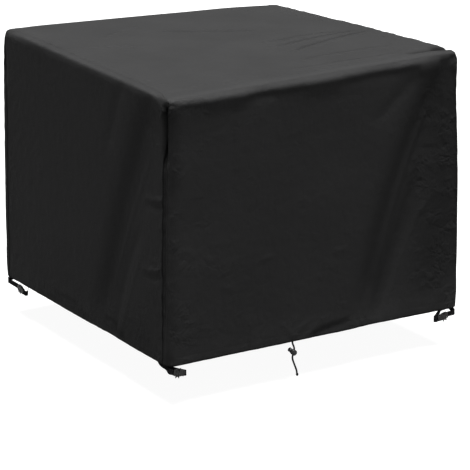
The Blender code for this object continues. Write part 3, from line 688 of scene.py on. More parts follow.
def wall_lines():
    """Distances down a wall at which the grids have a row."""
    drop, casing = sizes().drop, sizes().casing
    body_end = drop - casing - 0.003
    lines = stretch_lines((0.066, 0.0045), (0.100, 0.0055), (0.640, 0.0062), (body_end, 0.0044))
    hem = [casing + 0.0012, casing, casing - 0.0012, casing - 0.0030, 0.0175, 0.0140, 0.0105, 0.0070,
           0.0045, 0.0030, 0.0022, 0.0014, 0.0007, 0.0002, 0.0]
    lines += [drop - above for above in hem]
    return np.array(lines if len(lines) % 2 else lines[:1] + [0.0022] + lines[1:])


def top_lines(step):
    """Places from front to back at which the grids have a line."""
    half_y = sizes().depth / 2
    near = list(GRID_FINE) + stretch_lines((half_y - GRID_FINE[-1], step))[1:]
    near = [near[k] if k < len(GRID_FINE) else near[k] + GRID_FINE[-1] for k in range(len(near))]
    return np.array([d - half_y for d in near] + [half_y - d for d in near[-2::-1]])


def wrap_columns(half_width):
    """Places across the wrap panel, from its left edge to its right one."""
    zone = sizes().width / 2 - SIDE_ZONE
    fine = half_width - np.array(GRID_FINE)
    beside = np.linspace(fine[-1], zone, SIDE_COLUMNS)[1:]
    middle = np.linspace(zone, -zone, MIDDLE_COLUMNS)[1:-1]
    half = np.concatenate([fine, beside])
    return np.concatenate([-half, middle[::-1], half[::-1]])


def wall_places(around, side, down):
    """Places across the front or back wall and on round its corners."""
    half_x, half_y = halves()
    over = np.maximum(np.abs(around) - half_x, 0.0)
    return np.stack([np.clip(around, -half_x, half_x), side * (half_y - over),
                     np.full_like(around, -down)], axis=1)


def wrap_grid():
    """Front wall, top and back wall, as one strip, with its flat coordinates."""
    half_x, half_y = halves()
    downs = wall_lines()[1:]
    places = [(-1, down) for down in downs[::-1]] + [(0, y) for y in top_lines(WRAP_STEP)]
    places += [(1, down) for down in downs]
    rows, flats = [], []
    for side, far in places:
        if side:
            across = wrap_columns(half_x + seam_on_wall(far) - SEAM_SIDE)
            rows.append(wall_places(across, side, far))
        else:
            across = wrap_columns(half_x - seam_on_top(far) - SEAM_SIDE)
            rows.append(np.stack([across, np.full_like(across, far), np.zeros_like(across)], axis=1))
        flats.append(np.stack([across, np.full_like(across, side * (half_y + far) if side else far)],
                              axis=1))
    return np.array(rows), np.array(flats)


def end_grid(side):
    """One end wall with its strip that rolls over onto the top, with its flat coordinates."""
    half_x, half_y = halves()
    lines = top_lines(END_STEP)
    rows, flats = [], []
    for down in wall_lines():
        fade = max(0.0, 1.0 - down / SEAM_FADE)
        depth = down - seam_on_top(lines) * fade + SEAM_SIDE * fade
        y = lines * (half_y - seam_on_wall(down) - SEAM_SIDE) / half_y
        x = side * (half_x + np.minimum(depth, 0.0))
        rows.append(np.stack([x, y, -np.maximum(depth, 0.0)], axis=1))
        flats.append(np.stack([y, depth], axis=1))
    return np.array(rows), np.array(flats)


def panel_object(name, grid, flat, material):
    """One closed panel of cloth: a fine outer skin and an inner one with half its lines."""
    rows, columns = grid.shape[:2]
    if rows % 2 == 0 or columns % 2 == 0:
        raise RuntimeError(f"{name}: the grid needs odd numbers of lines, not {rows} by {columns}")
    outer, inner = cloth_skins(grid)
    inner_columns = (columns + 1) // 2

    def face_in(r, c):
        return rows * columns + (r // 2) * inner_columns + c // 2

    faces = grid_faces(rows, columns)
    faces += [(face_in(r, c), face_in(r + 2, c), face_in(r + 2, c + 2), face_in(r, c + 2))
              for r in range(0, rows - 1, 2) for c in range(0, columns - 1, 2)]
    rim = grid_rim(rows, columns) + [(0, 0)]
    for k in range(0, len(rim) - 1, 2):
        skin = [r * columns + c for r, c in rim[k:k + 3]]
        faces.append((*skin[::-1], face_in(*rim[k]), face_in(*rim[k + 2])))
    points, uv, box = (np.concatenate([fine.reshape(-1, fine.shape[-1]),
                                       coarse[::2, ::2].reshape(-1, fine.shape[-1])])
                       for fine, coarse in ((outer, inner), (flat, flat), (grid, grid)))
    marks = {"worn": rubbing_and_highlight(box), "shade": darkening(box), "crumpled": crumpling(box)}
    return mesh_object(name, points, faces, material, uv, marks=marks)


# ---- Stitches and seam tapes ----
def top_seam_line(side, offset, step=0.002):
    """Places beside a top seam; offset is towards the end wall."""
    half_x, half_y = halves()
    y = np.arange(0.012 - half_y, half_y - 0.012, step)
    down = offset - seam_on_top(y)
    return np.stack([side * (half_x + np.minimum(down, 0.0)), y, -np.maximum(down, 0.0)], axis=1)


def wall_seam_line(side_x, side_y, offset, down=None):
    """Places beside an upright seam, down to the casing if no distances down are given."""
    if down is None:
        down = np.arange(SEAM_START, sizes().drop - sizes().casing - 0.002, 0.002)
    return wall_places(side_x * (halves()[0] + seam_on_wall(down) + offset), side_y, down)


def hem_lines():
    """Places along the casing's upper edge, one line for each wall."""
    half_x, half_y = halves()
    down = sizes().drop - sizes().casing
    lines = []
    for side in (-1, 1):
        around = np.arange(HEM_ROW_ENDS - half_x - SEAM_ON_WALL,
                           half_x + SEAM_ON_WALL - HEM_ROW_ENDS, HEM_ROW_STEP)
        lines.append(wall_places(around, side, down))
        y = np.arange(HEM_ROW_ENDS - half_y + SEAM_ON_WALL,
                      half_y - SEAM_ON_WALL - HEM_ROW_ENDS, HEM_ROW_STEP)
        lines.append(np.stack([np.full_like(y, side * half_x), y, np.full_like(y, -down)], axis=1))
    return lines


def stitches_object(name, lines, material):
    """Rows of single stitches, each half sunk into the cloth, as one object."""
    half_long, half_thick = sizes().stitch / 2, sizes().thread / 2
    turns = [math.pi / 2 * k for k in range(4)]
    points, faces = [], []
    for line in lines:
        surface, outward = round_edges(line)
        surface = hang(surface + outward * (cloth_height(line) + STITCH_LIFT)[:, None])
        lengths = walked(surface)
        marks = np.arange(sizes().stitch_step / 2, lengths[-1], sizes().stitch_step)
        centres = at_marks(marks, lengths, surface)
        ahead = at_marks(marks + 0.001, lengths, surface)
        for centre, up, forward in zip(centres, at_marks(marks, lengths, outward), ahead - centres):
            forward = forward / max(np.linalg.norm(forward), 1e-9)
            across = np.cross(up, forward)
            across /= np.linalg.norm(across)
            up = np.cross(forward, across)
            first = len(points)
            sunk = up * half_thick * 0.6
            points.append(centre - forward * half_long - sunk)
            for along, wide, high in STITCH_RINGS:
                middle = centre + forward * half_long * along
                points += [middle + across * math.cos(turn) * wide * half_thick
                           + up * math.sin(turn) * high * half_thick for turn in turns]
            points.append(centre + forward * half_long - sunk)
            for k in range(4):
                after = (k + 1) % 4
                faces.append((first, first + 1 + after, first + 1 + k))
                faces += [(ring + k, ring + after, ring + 4 + after, ring + 4 + k)
                          for ring in (first + 1, first + 5)]
                faces.append((first + 9 + k, first + 9 + after, first + 13))
    return mesh_object(name, points, faces, material, sharp_angle=80)


def wall_tape_lines(corner, offsets):
    """Places for the tape inside an upright seam: down to the hem, narrower there beside a leg strap."""
    bottom = sizes().drop - TAPE_END
    down = np.append(np.arange(SEAM_START, bottom - 0.003, 0.005), bottom)
    narrow = ramp((down - sizes().drop + 0.026) / 0.006)
    return [wall_seam_line(corner.side_x, corner.side_y,
                           offset * (1.0 - 0.5 * narrow) - 0.0030 * narrow, down) for offset in offsets]


def tape_object(name, lines, material):
    """A tape sealed on the inner side of the cloth; the spare lines at each side only find its depth."""
    grid = np.stack(lines, axis=1)
    places = grid.reshape(-1, 3)
    even, outward = round_edges(places)
    height = cloth_height(places).reshape(grid.shape[:2])
    below = (cloth_thickness(places) + TAPE_CLEAR).reshape(height.shape)
    depth = lowest_nearby(height, TAPE_SPARE) - below
    kept = slice(TAPE_SPARE, grid.shape[1] - TAPE_SPARE)
    depth = depth[:, kept].reshape(-1, 1)
    even, outward = (values.reshape(grid.shape)[:, kept].reshape(-1, 3) for values in (even, outward))
    rows, columns = grid.shape[0], grid.shape[1] - 2 * TAPE_SPARE
    points = np.concatenate([hang(even + outward * depth), hang(even + outward * (depth - TAPE_THICK))])
    count = rows * columns
    faces = []
    for square in grid_faces(rows, columns):
        faces += [square, tuple(count + k for k in reversed(square))]
    rim = [r * columns + c for r, c in grid_rim(rows, columns)]
    faces += [(there, here, count + here, count + there) for here, there in zip(rim, rim[1:] + rim[:1])]
    flat = np.stack(np.meshgrid(np.arange(columns) * TAPE_STEP, np.arange(rows) * TAPE_STEP), axis=2)
    return mesh_object(name, points, faces, material, np.tile(flat.reshape(-1, 2), (2, 1)))


# ---- Webbing ----
WEBBING_SECTION = ((-1.0, -0.35), (-0.97, -0.9), (-0.9, -1.0), (-0.45, -1.0), (0.0, -1.0),
                   (0.45, -1.0), (0.9, -1.0), (0.97, -0.9), (1.0, -0.35))
WEBBING_SECTION += tuple((-wide, -thick) for wide, thick in WEBBING_SECTION)


def strap_place(strap, along, inward, below):
    """Place on the even box for a point given from a hem corner."""
    corner = next(c for c in CORNERS if c.name == strap.corner)
    from_edge = (along, inward) if strap.runs_along == "x" else (inward, along)
    x = corner.side_x * (sizes().width / 2 - from_edge[0])
    y = corner.side_y * (sizes().depth / 2 - from_edge[1])
    return np.array((x, y, -sizes().drop - below))


def strap_direction(strap, along, inward, below):
    """The same for a direction."""
    step = strap_place(strap, along, inward, below) - strap_place(strap, 0.0, 0.0, 0.0)
    return step / np.linalg.norm(step)


def strap_middle(strap, row):
    """Place of one row of a strap's table on the even box, with the strap's own reach added."""
    along = row[0] + strap.reach * float(ramp((row[0] - REACH_FROM) / REACH_OVER))
    return strap_place(strap, along, row[1], row[2])


def framed(place, *axes):
    """Matrix of a frame with the given axes at a place."""
    return Matrix.Translation(place) @ Matrix(axes).transposed().to_4x4()


def aimed(place, direction):
    """Matrix at a place, with its Z along a direction."""
    return Matrix.Translation(place) @ direction.to_track_quat("Z", "Y").to_matrix().to_4x4()


def webbing_object(name, strap, table, buckle_end, material):
    """A flat woven strap along its table's middle line, square to the buckle at that end."""
    route = smooth_curve(table, STRAP_STEPS)
    middles = np.array([strap_middle(strap, row) for row in route])
    travel = np.gradient(middles, axis=0)
    travel[buckle_end] = strap_middle(strap, SHORT_STRAP[0]) - strap_middle(strap, LONG_STRAP[-1])
    half_wide, half_thick = sizes().webbing / 2, sizes().webbing_thick / 2
    points, flat = [], []
    for row, middle, forward, far in zip(route, middles, travel, walked(middles)):
        facing = math.radians(row[3])
        out = strap_direction(strap, -math.cos(facing), -math.sin(facing), 0.0)
        wide = np.cross(forward, out)
        wide /= np.linalg.norm(wide)
        thick = np.cross(wide, forward)
        thick /= np.linalg.norm(thick)
        points.extend(hang(np.array([middle + wide * half_wide * w + thick * half_thick * t
                                     for w, t in WEBBING_SECTION])))
        flat.extend((w * half_wide, far) for w, _ in WEBBING_SECTION)
    return mesh_object(name, points, tube_faces(len(route), len(WEBBING_SECTION)), material, flat,
                       sharp_angle=50)


def buckle_frame(strap):
    """Matrix from the buckle's own frame, which starts at the long strap's end, and its length."""
    start = hang(strap_middle(strap, LONG_STRAP[-1])[None])[0]
    end = hang(strap_middle(strap, SHORT_STRAP[0])[None])[0]
    run = Vector(end - start).normalized()
    out = Vector(strap_direction(strap, 0.0, -1.0, 0.0))
    across = out.cross(run).normalized()
    return (framed(Vector(start), run, across, run.cross(across)),
            (Vector(end) - Vector(start)).length)


# ---- Modelling step by step ----
def clear_selection():
    """Object mode with nothing selected."""
    if bpy.context.object and bpy.context.object.mode != "OBJECT":
        bpy.ops.object.mode_set(mode="OBJECT")
    bpy.ops.object.select_all(action="DESELECT")


def activate(obj):
    """Object mode with only this object selected and active."""
    clear_selection()
    obj.select_set(True)
    bpy.context.view_layer.objects.active = obj


def take_new(name):
    """Name the primitive that was just added, and apply its transform."""
    made = bpy.context.object
    made.name = made.data.name = name
    bpy.ops.object.transform_apply(location=True, rotation=True, scale=True)
    return made


def start_block(name, low, high):
    """A block between two corners, ready for edit mode."""
    clear_selection()
    bpy.ops.mesh.primitive_cube_add(size=1.0, location=[(a + b) / 2 for a, b in zip(low, high)],
                                    scale=[b - a for a, b in zip(low, high)])
    return take_new(name)


def choose(obj, kind, test):
    """Go into edit mode on the object with only what passes the test selected."""
    activate(obj)
    bpy.ops.object.mode_set(mode="EDIT")
    bpy.ops.mesh.select_mode(type=kind)
    bpy.ops.mesh.select_all(action="DESELECT")
    edit = bmesh.from_edit_mesh(obj.data)
    chosen = [item for item in (edit.faces if kind == "FACE" else edit.verts) if test(item)]
    if not chosen:
        raise RuntimeError(f"{obj.name}: nothing to select")
    for item in chosen:
        item.select_set(True)
    edit.select_flush_mode()
    bmesh.update_edit_mesh(obj.data)


def looking(axis, side, low=-1.0, high=1.0):
    """Test for faces that look one way along an axis, between two places along X."""
    return lambda face: face.normal[axis] * side > 0.9 and low < face.calc_center_median().x < high


def cut_across(obj, places):
    """Cut the whole mesh by planes square to X."""
    for place in places:
        choose(obj, "FACE", lambda face: True)
        bpy.ops.mesh.bisect(plane_co=(place, 0.0, 0.0), plane_no=(1.0, 0.0, 0.0))
    bpy.ops.object.mode_set(mode="OBJECT")


def apply_modifier(obj, kind, **settings):
    """Add a modifier with its settings, and apply it."""
    activate(obj)
    bpy.ops.object.modifier_add(type=kind)
    added = obj.modifiers[-1]
    for key, value in settings.items():
        setattr(added, key, value)
    bpy.ops.object.modifier_apply(modifier=added.name)


def finish_modelling(obj, material, bevel, segments=3, angle=30):
    """Rounded edges, smooth shading and a material."""
    if bevel:
        apply_modifier(obj, "BEVEL", width=bevel, segments=segments, limit_method="ANGLE",
                       angle_limit=math.radians(angle))
    activate(obj)
    outward_faces(obj)
    bpy.ops.object.shade_smooth_by_angle(angle=math.radians(40))
    obj.data.materials.clear()
    obj.data.materials.append(material)


def turned(name, profile):
    """A closed turned shape: a disc extruded and resized along its axis, ring by ring."""
    clear_selection()
    bpy.ops.mesh.primitive_circle_add(vertices=TURN_SIDES, radius=profile[0][1], fill_type="NGON",
                                      location=(0.0, 0.0, profile[0][0]))
    made = take_new(name)
    bpy.ops.object.mode_set(mode="EDIT")
    bpy.ops.mesh.select_mode(type="FACE")
    bpy.ops.mesh.select_all(action="SELECT")
    for (along, radius), (next_along, next_radius) in zip(profile, profile[1:]):
        bpy.ops.mesh.extrude_region_move(
            TRANSFORM_OT_translate={"value": (0.0, 0.0, next_along - along)})
        share = next_radius / radius
        bpy.ops.transform.resize(value=(share, share, 1.0), center_override=(0.0, 0.0, next_along))
    bpy.ops.object.mode_set(mode="OBJECT")
    return made


def join(obj, others):
    """Join other objects' meshes into this one."""
    activate(obj)
    for other in others:
        other.select_set(True)
    bpy.ops.object.join()
    return obj


def placed_copy(name, obj, matrix):
    """A copy with its own mesh, put in place through its mesh."""
    made = obj.copy()
    made.data = obj.data.copy()
    made.name = made.data.name = name
    made.data.transform(matrix)
    bpy.context.scene.collection.objects.link(made)
    return made


def remove(obj):
    """Delete a pattern object that was only copied."""
    bpy.data.objects.remove(obj, do_unlink=True)


# ---- Buckle halves ----
ARM_ROOM = 0.0019
PLUG_HALF_THICK = 0.00325
# Places along a half where its outline changes, as shares of its length.
SOCKET_CUTS = (0.12, 0.38, 0.46, 0.80, 0.88)
PLUG_CUTS = (0.18, 0.42, 0.80)
ARM_SPAN = (0.475, 0.80)   # these and the ribs are shares of the socket's length
ARM_RIBS = (0.53, 0.56, 0.62, 0.65, 0.71, 0.74)
ARM_HALF_THICK = 0.0021
RIB_RAISE = 0.0004
MOUTH_RIM = 0.0014
MOUTH_DEEP = 0.0040


def sink(obj, test, inset, depth):
    """Inset the chosen faces together and push them in."""
    choose(obj, "FACE", test)
    bpy.ops.mesh.inset(thickness=inset, depth=0.0)
    bpy.ops.mesh.inset(thickness=0.0002, depth=-depth)
    bpy.ops.object.mode_set(mode="OBJECT")


def squeeze(obj, place, share):
    """Make the buckle half narrower where its outline crosses a place along it."""
    choose(obj, "VERT", lambda vert: abs(vert.co.x - place) < 1e-5)
    bpy.ops.transform.resize(value=(1.0, share, 1.0), center_override=(place, 0.0, 0.0))
    bpy.ops.object.mode_set(mode="OBJECT")


def push_in(obj, side, low, high, depth):
    """Push in the part of a side between two places along it."""
    choose(obj, "FACE", looking(1, side, low, high))
    bpy.ops.mesh.extrude_region_move(TRANSFORM_OT_translate={"value": (0.0, -side * depth, 0.0)})
    bpy.ops.object.mode_set(mode="OBJECT")


def socket_shape(material):
    """Half that the plug clicks into, with cut-away sides, a thumb hollow and a strap mouth."""
    long, half, thick = SOCKET_LONG, sizes().buckle / 2, sizes().buckle_thick / 2
    shape = start_block("socket_shape", (GAP, -half, -thick), (GAP + long, half, thick))
    cuts = [GAP + long * share for share in SOCKET_CUTS]
    cut_across(shape, cuts)
    for side in (-1, 1):
        push_in(shape, side, cuts[2], cuts[3], ARM_ROOM)
    squeeze(shape, GAP, 0.80)
    squeeze(shape, cuts[0], 0.95)
    sink(shape, looking(0, -1), MOUTH_RIM, MOUTH_DEEP)
    for side in (-1, 1):
        sink(shape, looking(2, side, cuts[0], cuts[4]), 0.0026, 0.0005)
    finish_modelling(shape, material, 0.0006)
    return shape


def plug_shape(run, material):
    """Half with the arms that show in the socket's sides, a ladder for the strap and its mouth."""
    start, end = SOCKET_LONG + 2 * GAP, run - GAP
    long, half = end - start, sizes().buckle / 2
    shape = start_block("plug_shape", (start, -half, -PLUG_HALF_THICK), (end, half, PLUG_HALF_THICK))
    cuts = [start + long * share for share in PLUG_CUTS]
    cut_across(shape, cuts)
    for place, share in zip(cuts[1:] + [end], (0.86, 0.90, 0.74)):
        squeeze(shape, place, share)
    sink(shape, looking(0, 1), MOUTH_RIM * 0.8, MOUTH_DEEP)
    for side in (-1, 1):
        sink(shape, looking(2, side, cuts[1], cuts[2]), 0.0011, 0.0011)
    finish_modelling(shape, material, 0.0005)
    arms = []
    for side in (-1, 1):
        low, high = sorted((side * (half - ARM_ROOM + 0.0003), side * (half - 0.0001)))
        arm = start_block("arm", (SOCKET_LONG * ARM_SPAN[0], low, -ARM_HALF_THICK),
                          (SOCKET_LONG * ARM_SPAN[1], high, ARM_HALF_THICK))
        ribs = [SOCKET_LONG * share for share in ARM_RIBS]
        cut_across(arm, ribs)
        for first in (0, 2, 4):
            push_in(arm, side, ribs[first], ribs[first + 1], RIB_RAISE)
        finish_modelling(arm, material, 0.00018, segments=2)
        arms.append(arm)
    return join(shape, arms)


# ---- Draw cord ----
def cord_place(right, down):
    """A point of the cord's route, from the middle of the casing's lower edge."""
    place = on_wall("front", CORD_EXIT_ALONG, sizes().drop)
    place[1] += sizes().casing_thick / 2
    return hang(place[None])[0] + np.array((right, 0.0, -down - GAP))


def tube(points, radius, sides, relief=None):
    """Points, faces and flat coordinates of a tube; relief gives the radius share by turn and run."""
    lengths = walked(points)
    forward = Vector(points[1] - points[0]).normalized()
    side = forward.orthogonal().normalized()
    places, flat = [], []
    for index, point in enumerate(points):
        ahead = Vector(points[min(index + 1, len(points) - 1)] - points[max(index - 1, 0)]).normalized()
        side = (forward.rotation_difference(ahead) @ side).normalized()
        forward = ahead
        other = forward.cross(side)
        thick = radius[index] if hasattr(radius, "__len__") else radius
        for k in range(sides):
            turn = 2 * math.pi * k / sides
            r = thick * (relief(turn, lengths[index]) if relief else 1.0)
            places.append(Vector(point) + (side * math.cos(turn) + other * math.sin(turn)) * r)
            flat.append((turn * thick, lengths[index]))
    return places, tube_faces(len(points), sides), flat


def braid(turn, run):
    """Share of the cord's radius: two sets of strands that cross."""
    slant = run / BRAID_PITCH * 2 * math.pi
    return 0.985 + 0.03 * abs(math.cos(4 * turn + slant)) * abs(math.cos(4 * turn - slant))


def draw_cord_line():
    """The cord's centre line from the hem to its end."""
    return evenly(smooth_curve([cord_place(*point) for point in CORD_ROUTE], 24), CORD_STEP)


def knot_object(name, line, material):
    """A tight knot: two wraps of the cord round its own end, with a short sealed tip."""
    onward = Vector(line[-1] - line[-2]).normalized()
    start = Vector(line[-1]) + onward * GAP
    side = onward.orthogonal().normalized()
    other = onward.cross(side)
    shares = np.linspace(0.0, 1.0, 24)
    core = np.array([start + onward * (KNOT_LONG * share) for share in shares])
    rounding = np.maximum(shares - 0.86, 0.0) ** 2 / 0.14 ** 2
    swell = KNOT_CORE * np.sqrt(np.clip(1.0 - rounding, 0.12, 1.0))
    swell *= np.sqrt(np.clip(1.0 - np.maximum(0.06 - shares, 0.0) ** 2 / 0.06 ** 2, 0.3, 1.0))
    places, faces, flat = tube(core, swell, 20)
    turns = np.linspace(0.0, KNOT_TURNS * 2 * math.pi, 120)
    from_end = np.minimum(turns, turns[-1] - turns)
    reach = KNOT_CORE + 0.0005 * ramp(from_end / 1.2) - 0.0002
    wrap = np.array([
        start + onward * (0.0012 + 0.0044 * t / turns[-1] + 0.0005 * math.sin(t))
        + (side * math.cos(t) + other * math.sin(t)) * r for t, r in zip(turns, reach)])
    more, more_faces, more_flat = tube(
        wrap, KNOT_STRAND * (0.35 + 0.65 * ramp(from_end / 0.5 + 0.15)), 14)
    faces += [tuple(len(places) + k for k in face) for face in more_faces]
    return mesh_object(name, places + more, faces, material, flat + more_flat)


# ---- Shader groups ----
def feed(tree, node, inputs):
    """Set or link a node's inputs."""
    for key, value in inputs.items():
        if isinstance(value, bpy.types.NodeSocket):
            tree.links.new(value, node.inputs[key])
        else:
            node.inputs[key].default_value = value


def put(tree, kind, inputs=None, **settings):
    """Add a node, set its options, and set or link its inputs."""
    node = tree.nodes.new(kind)
    for key, value in settings.items():
        setattr(node, key, value)
    feed(tree, node, inputs or {})
    return node


def calc(tree, operation, *values):
    """Output of a math node."""
    return put(tree, "ShaderNodeMath", dict(enumerate(values)), operation=operation).outputs[0]


def vector_calc(tree, operation, *values):
    """Output of a vector math node."""
    return put(tree, "ShaderNodeVectorMath", dict(enumerate(values)), operation=operation).outputs[0]


def noise(tree, vector, scale, detail, roughness=0.5):
    """Outputs of a noise texture."""
    return put(tree, "ShaderNodeTexNoise", {"Vector": vector, "Scale": scale, "Detail": detail,
                                            "Roughness": roughness}).outputs


def stretch_range(tree, value, low, high):
    """A value's range from low to high, made 0 to 1."""
    values = {"Value": value, "From Min": low, "From Max": high}
    return put(tree, "ShaderNodeMapRange", values).outputs[0]


def new_group(name, inputs, outputs):
    """An empty shader group, its input node's outputs and its output node. None marks a vector."""
    group = bpy.data.node_groups.new(name, "ShaderNodeTree")
    for label, default in inputs.items():
        kind = "NodeSocketVector" if default is None else "NodeSocketFloat"
        socket = group.interface.new_socket(name=label, in_out="INPUT", socket_type=kind)
        if default is not None:
            socket.default_value = default
    for label in outputs:
        group.interface.new_socket(name=label, in_out="OUTPUT", socket_type="NodeSocketFloat")
    return group, group.nodes.new("NodeGroupInput").outputs, group.nodes.new("NodeGroupOutput")


def weave_group():
    """Plain weave: yarns one way go over and under the yarns the other way."""
    group, given, result = new_group("Plain Weave", {"Flat": None, "Yarn Spacing": 0.0006,
                                                     "Unevenness": 0.15}, ("Height", "Yarn"))
    scaled = vector_calc(group, "MULTIPLY", given["Flat"], (math.pi, math.pi, math.pi))
    scaled = vector_calc(group, "DIVIDE", scaled, given["Yarn Spacing"])
    parts = put(group, "ShaderNodeSeparateXYZ", {0: scaled}).outputs
    warp = calc(group, "SINE", parts[0])
    weft = calc(group, "COSINE", parts[1])
    over = calc(group, "MULTIPLY", warp, weft)
    up = calc(group, "ADD", calc(group, "ABSOLUTE", warp), over)
    down = calc(group, "SUBTRACT", calc(group, "ABSOLUTE", weft), over)
    height = calc(group, "MULTIPLY", calc(group, "MAXIMUM", up, down), 0.5)
    slub = calc(group, "SUBTRACT", noise(group, scaled, 0.09, 2.0)["Fac"], 0.5)
    feed(group, result, {"Height": calc(group, "MULTIPLY_ADD", slub, given["Unevenness"], height),
                         "Yarn": height})
    return group


def dust_group():
    """Soft patches of dust and handling, for every finish."""
    group, given, result = new_group("Settled Dust", {"Place": None, "Patch Scale": 5.0,
                                                      "Speck Scale": 240.0}, ("Patches", "Specks"))
    patches = noise(group, given["Place"], given["Patch Scale"], 4.0, 0.55)["Fac"]
    specks = noise(group, given["Place"], given["Speck Scale"], 2.0)["Fac"]
    feed(group, result, {"Patches": stretch_range(group, patches, 0.35, 0.68),
                         "Specks": stretch_range(group, specks, 0.56, 0.74)})
    return group


def crumple_group():
    """Creases of cloth that was packed tightly: a warped net of ridges in two sizes."""
    group, given, result = new_group("Packed Creases", {"Flat": None, "Crease Scale": 27.0}, ("Height",))
    warp = noise(group, given["Flat"], 11.0, 3.0)["Color"]
    bent = vector_calc(group, "MULTIPLY_ADD", warp, (0.07, 0.07, 0.0), given["Flat"])
    heights = []
    for share in (1.0, 2.3):
        net = put(group, "ShaderNodeTexVoronoi", {
            "Vector": bent, "Scale": calc(group, "MULTIPLY", given["Crease Scale"], share)},
            feature="DISTANCE_TO_EDGE", voronoi_dimensions="2D")
        heights.append(calc(group, "DIVIDE", net.outputs["Distance"], share))
    patch = stretch_range(group, noise(group, given["Flat"], 13.0, 2.0)["Fac"], 0.42, 0.66)
    feed(group, result, {"Height": calc(group, "MULTIPLY", calc(group, "ADD", *heights), patch)})
    return group


def grain_group():
    """Fine moulded grain."""
    inputs = {"Place": None, "Grain Scale": 2600.0}
    group, given, result = new_group("Moulded Grain", inputs, ("Height",))
    feed(group, result, {"Height": noise(group, given["Place"], given["Grain Scale"], 3.0, 0.6)["Fac"]})
    return group


def shared_group(name):
    """The shader group of that name, built the first time that it is asked for."""
    makers = {"Plain Weave": weave_group, "Settled Dust": dust_group, "Moulded Grain": grain_group,
              "Packed Creases": crumple_group}
    return bpy.data.node_groups.get(name) or makers[name]()


def put_group(tree, name, inputs):
    """Place a shared group in a material."""
    return put(tree, "ShaderNodeGroup", inputs, node_tree=shared_group(name)).outputs


# ---- Finishes ----
def start_material(name, roughness, specular):
    """A new material with its tree and its shader."""
    material = bpy.data.materials.new(name)
    material.use_nodes = True
    shader = material.node_tree.nodes["Principled BSDF"]
    feed(material.node_tree, shader, {"Roughness": roughness, "Specular IOR Level": specular})
    return material, material.node_tree, shader


def mix_colours(tree, mask, first, second):
    """Mix two colours by a mask."""
    return put(tree, "ShaderNodeMix", {0: mask, 6: first, 7: second}, data_type="RGBA").outputs[2]


def paler(base, share):
    """A colour made lighter: by dust and rubbing, and on the cloth also by painted light on the yarns'
    crowns and a painted highlight on raised creases.
    """
    return (*(min(1.0, channel * share + 0.002 * share) for channel in base[:3]), 1.0)


def add_bump(tree, shader, heights):
    """Chain bump nodes, each with its own height and depth in metres."""
    normal = None
    for height, depth in heights:
        node = put(tree, "ShaderNodeBump", {"Height": height, "Distance": depth, "Strength": 1.0})
        if normal is not None:
            tree.links.new(normal, node.inputs["Normal"])
        normal = node.outputs["Normal"]
    tree.links.new(normal, shader.inputs["Normal"])


def woven_material(name, base, spacing, depth, roughness, specular, turn=0.0, panel=False):
    """Woven finish on flat coordinates: yarns with painted light on their crowns, and dust; panels also
    have rubbing with a painted highlight on raised creases, painted shade and creases.
    """
    material, tree, shader = start_material(name, roughness, specular)
    flat = put(tree, "ShaderNodeUVMap", uv_map="Flat").outputs["UV"]
    if turn:
        flat = put(tree, "ShaderNodeMapping", {"Vector": flat, "Rotation": (0.0, 0.0, turn)}).outputs[0]
    place = put(tree, "ShaderNodeTexCoord").outputs["Object"]
    weave = put_group(tree, "Plain Weave", {"Flat": flat, "Yarn Spacing": spacing})
    dust = put_group(tree, "Settled Dust", {"Place": place})
    # The yarns' crowns are painted paler than the gaps between them: painted light and shade on the
    # weave.
    mask = calc(tree, "MULTIPLY", weave["Yarn"], 0.30)
    mask = calc(tree, "MULTIPLY_ADD", dust["Patches"], 0.10, mask)
    mask = calc(tree, "MULTIPLY_ADD", dust["Specks"], 0.06, mask)
    heights = [(weave["Height"], depth)]
    if panel:
        worn, shade, crumpled = (put(tree, "ShaderNodeAttribute", attribute_name=label).outputs["Fac"]
                                 for label in ("worn", "shade", "crumpled"))
        # Pale flecks of rubbing; on raised creases they also stand in for a painted highlight.
        mask = calc(tree, "MULTIPLY_ADD", calc(tree, "MULTIPLY", worn, dust["Specks"]), 1.6, mask)
        net = put_group(tree, "Packed Creases", {"Flat": flat})["Height"]
        heights[:0] = [(noise(tree, place, 34.0, 5.0, 0.55)["Fac"], 0.0016),
                       (calc(tree, "MULTIPLY", net, crumpled), 0.007)]
    tint = mix_colours(tree, mask, base, paler(base, 1.9))
    if panel:
        # Painted shade: the shade mark darkens the cloth towards near black.
        tint = mix_colours(tree, calc(tree, "MULTIPLY", shade, 0.95), tint, DEEP_SHADE)
    rough = calc(tree, "MULTIPLY_ADD", dust["Patches"], 0.06, roughness)
    feed(tree, shader, {"Base Color": tint,
                        "Roughness": calc(tree, "MULTIPLY_ADD", weave["Yarn"], -0.05, rough)})
    add_bump(tree, shader, heights)
    return material


def moulded_material(name, base, roughness, specular):
    """Moulded plastic with fine grain, dust and slightly uneven gloss."""
    material, tree, shader = start_material(name, roughness, specular)
    place = put(tree, "ShaderNodeTexCoord").outputs["Object"]
    dust = put_group(tree, "Settled Dust", {"Place": place, "Patch Scale": 90.0, "Speck Scale": 900.0})
    grain = put_group(tree, "Moulded Grain", {"Place": place})
    specks = calc(tree, "MULTIPLY", dust["Specks"], 0.15)
    mask = calc(tree, "MULTIPLY_ADD", dust["Patches"], 0.22, specks)
    feed(tree, shader, {"Base Color": mix_colours(tree, mask, base, paler(base, 2.4)),
                        "Roughness": calc(tree, "MULTIPLY_ADD", dust["Patches"], 0.12, roughness)})
    add_bump(tree, shader, [(grain["Height"], 0.00006)])
    return material


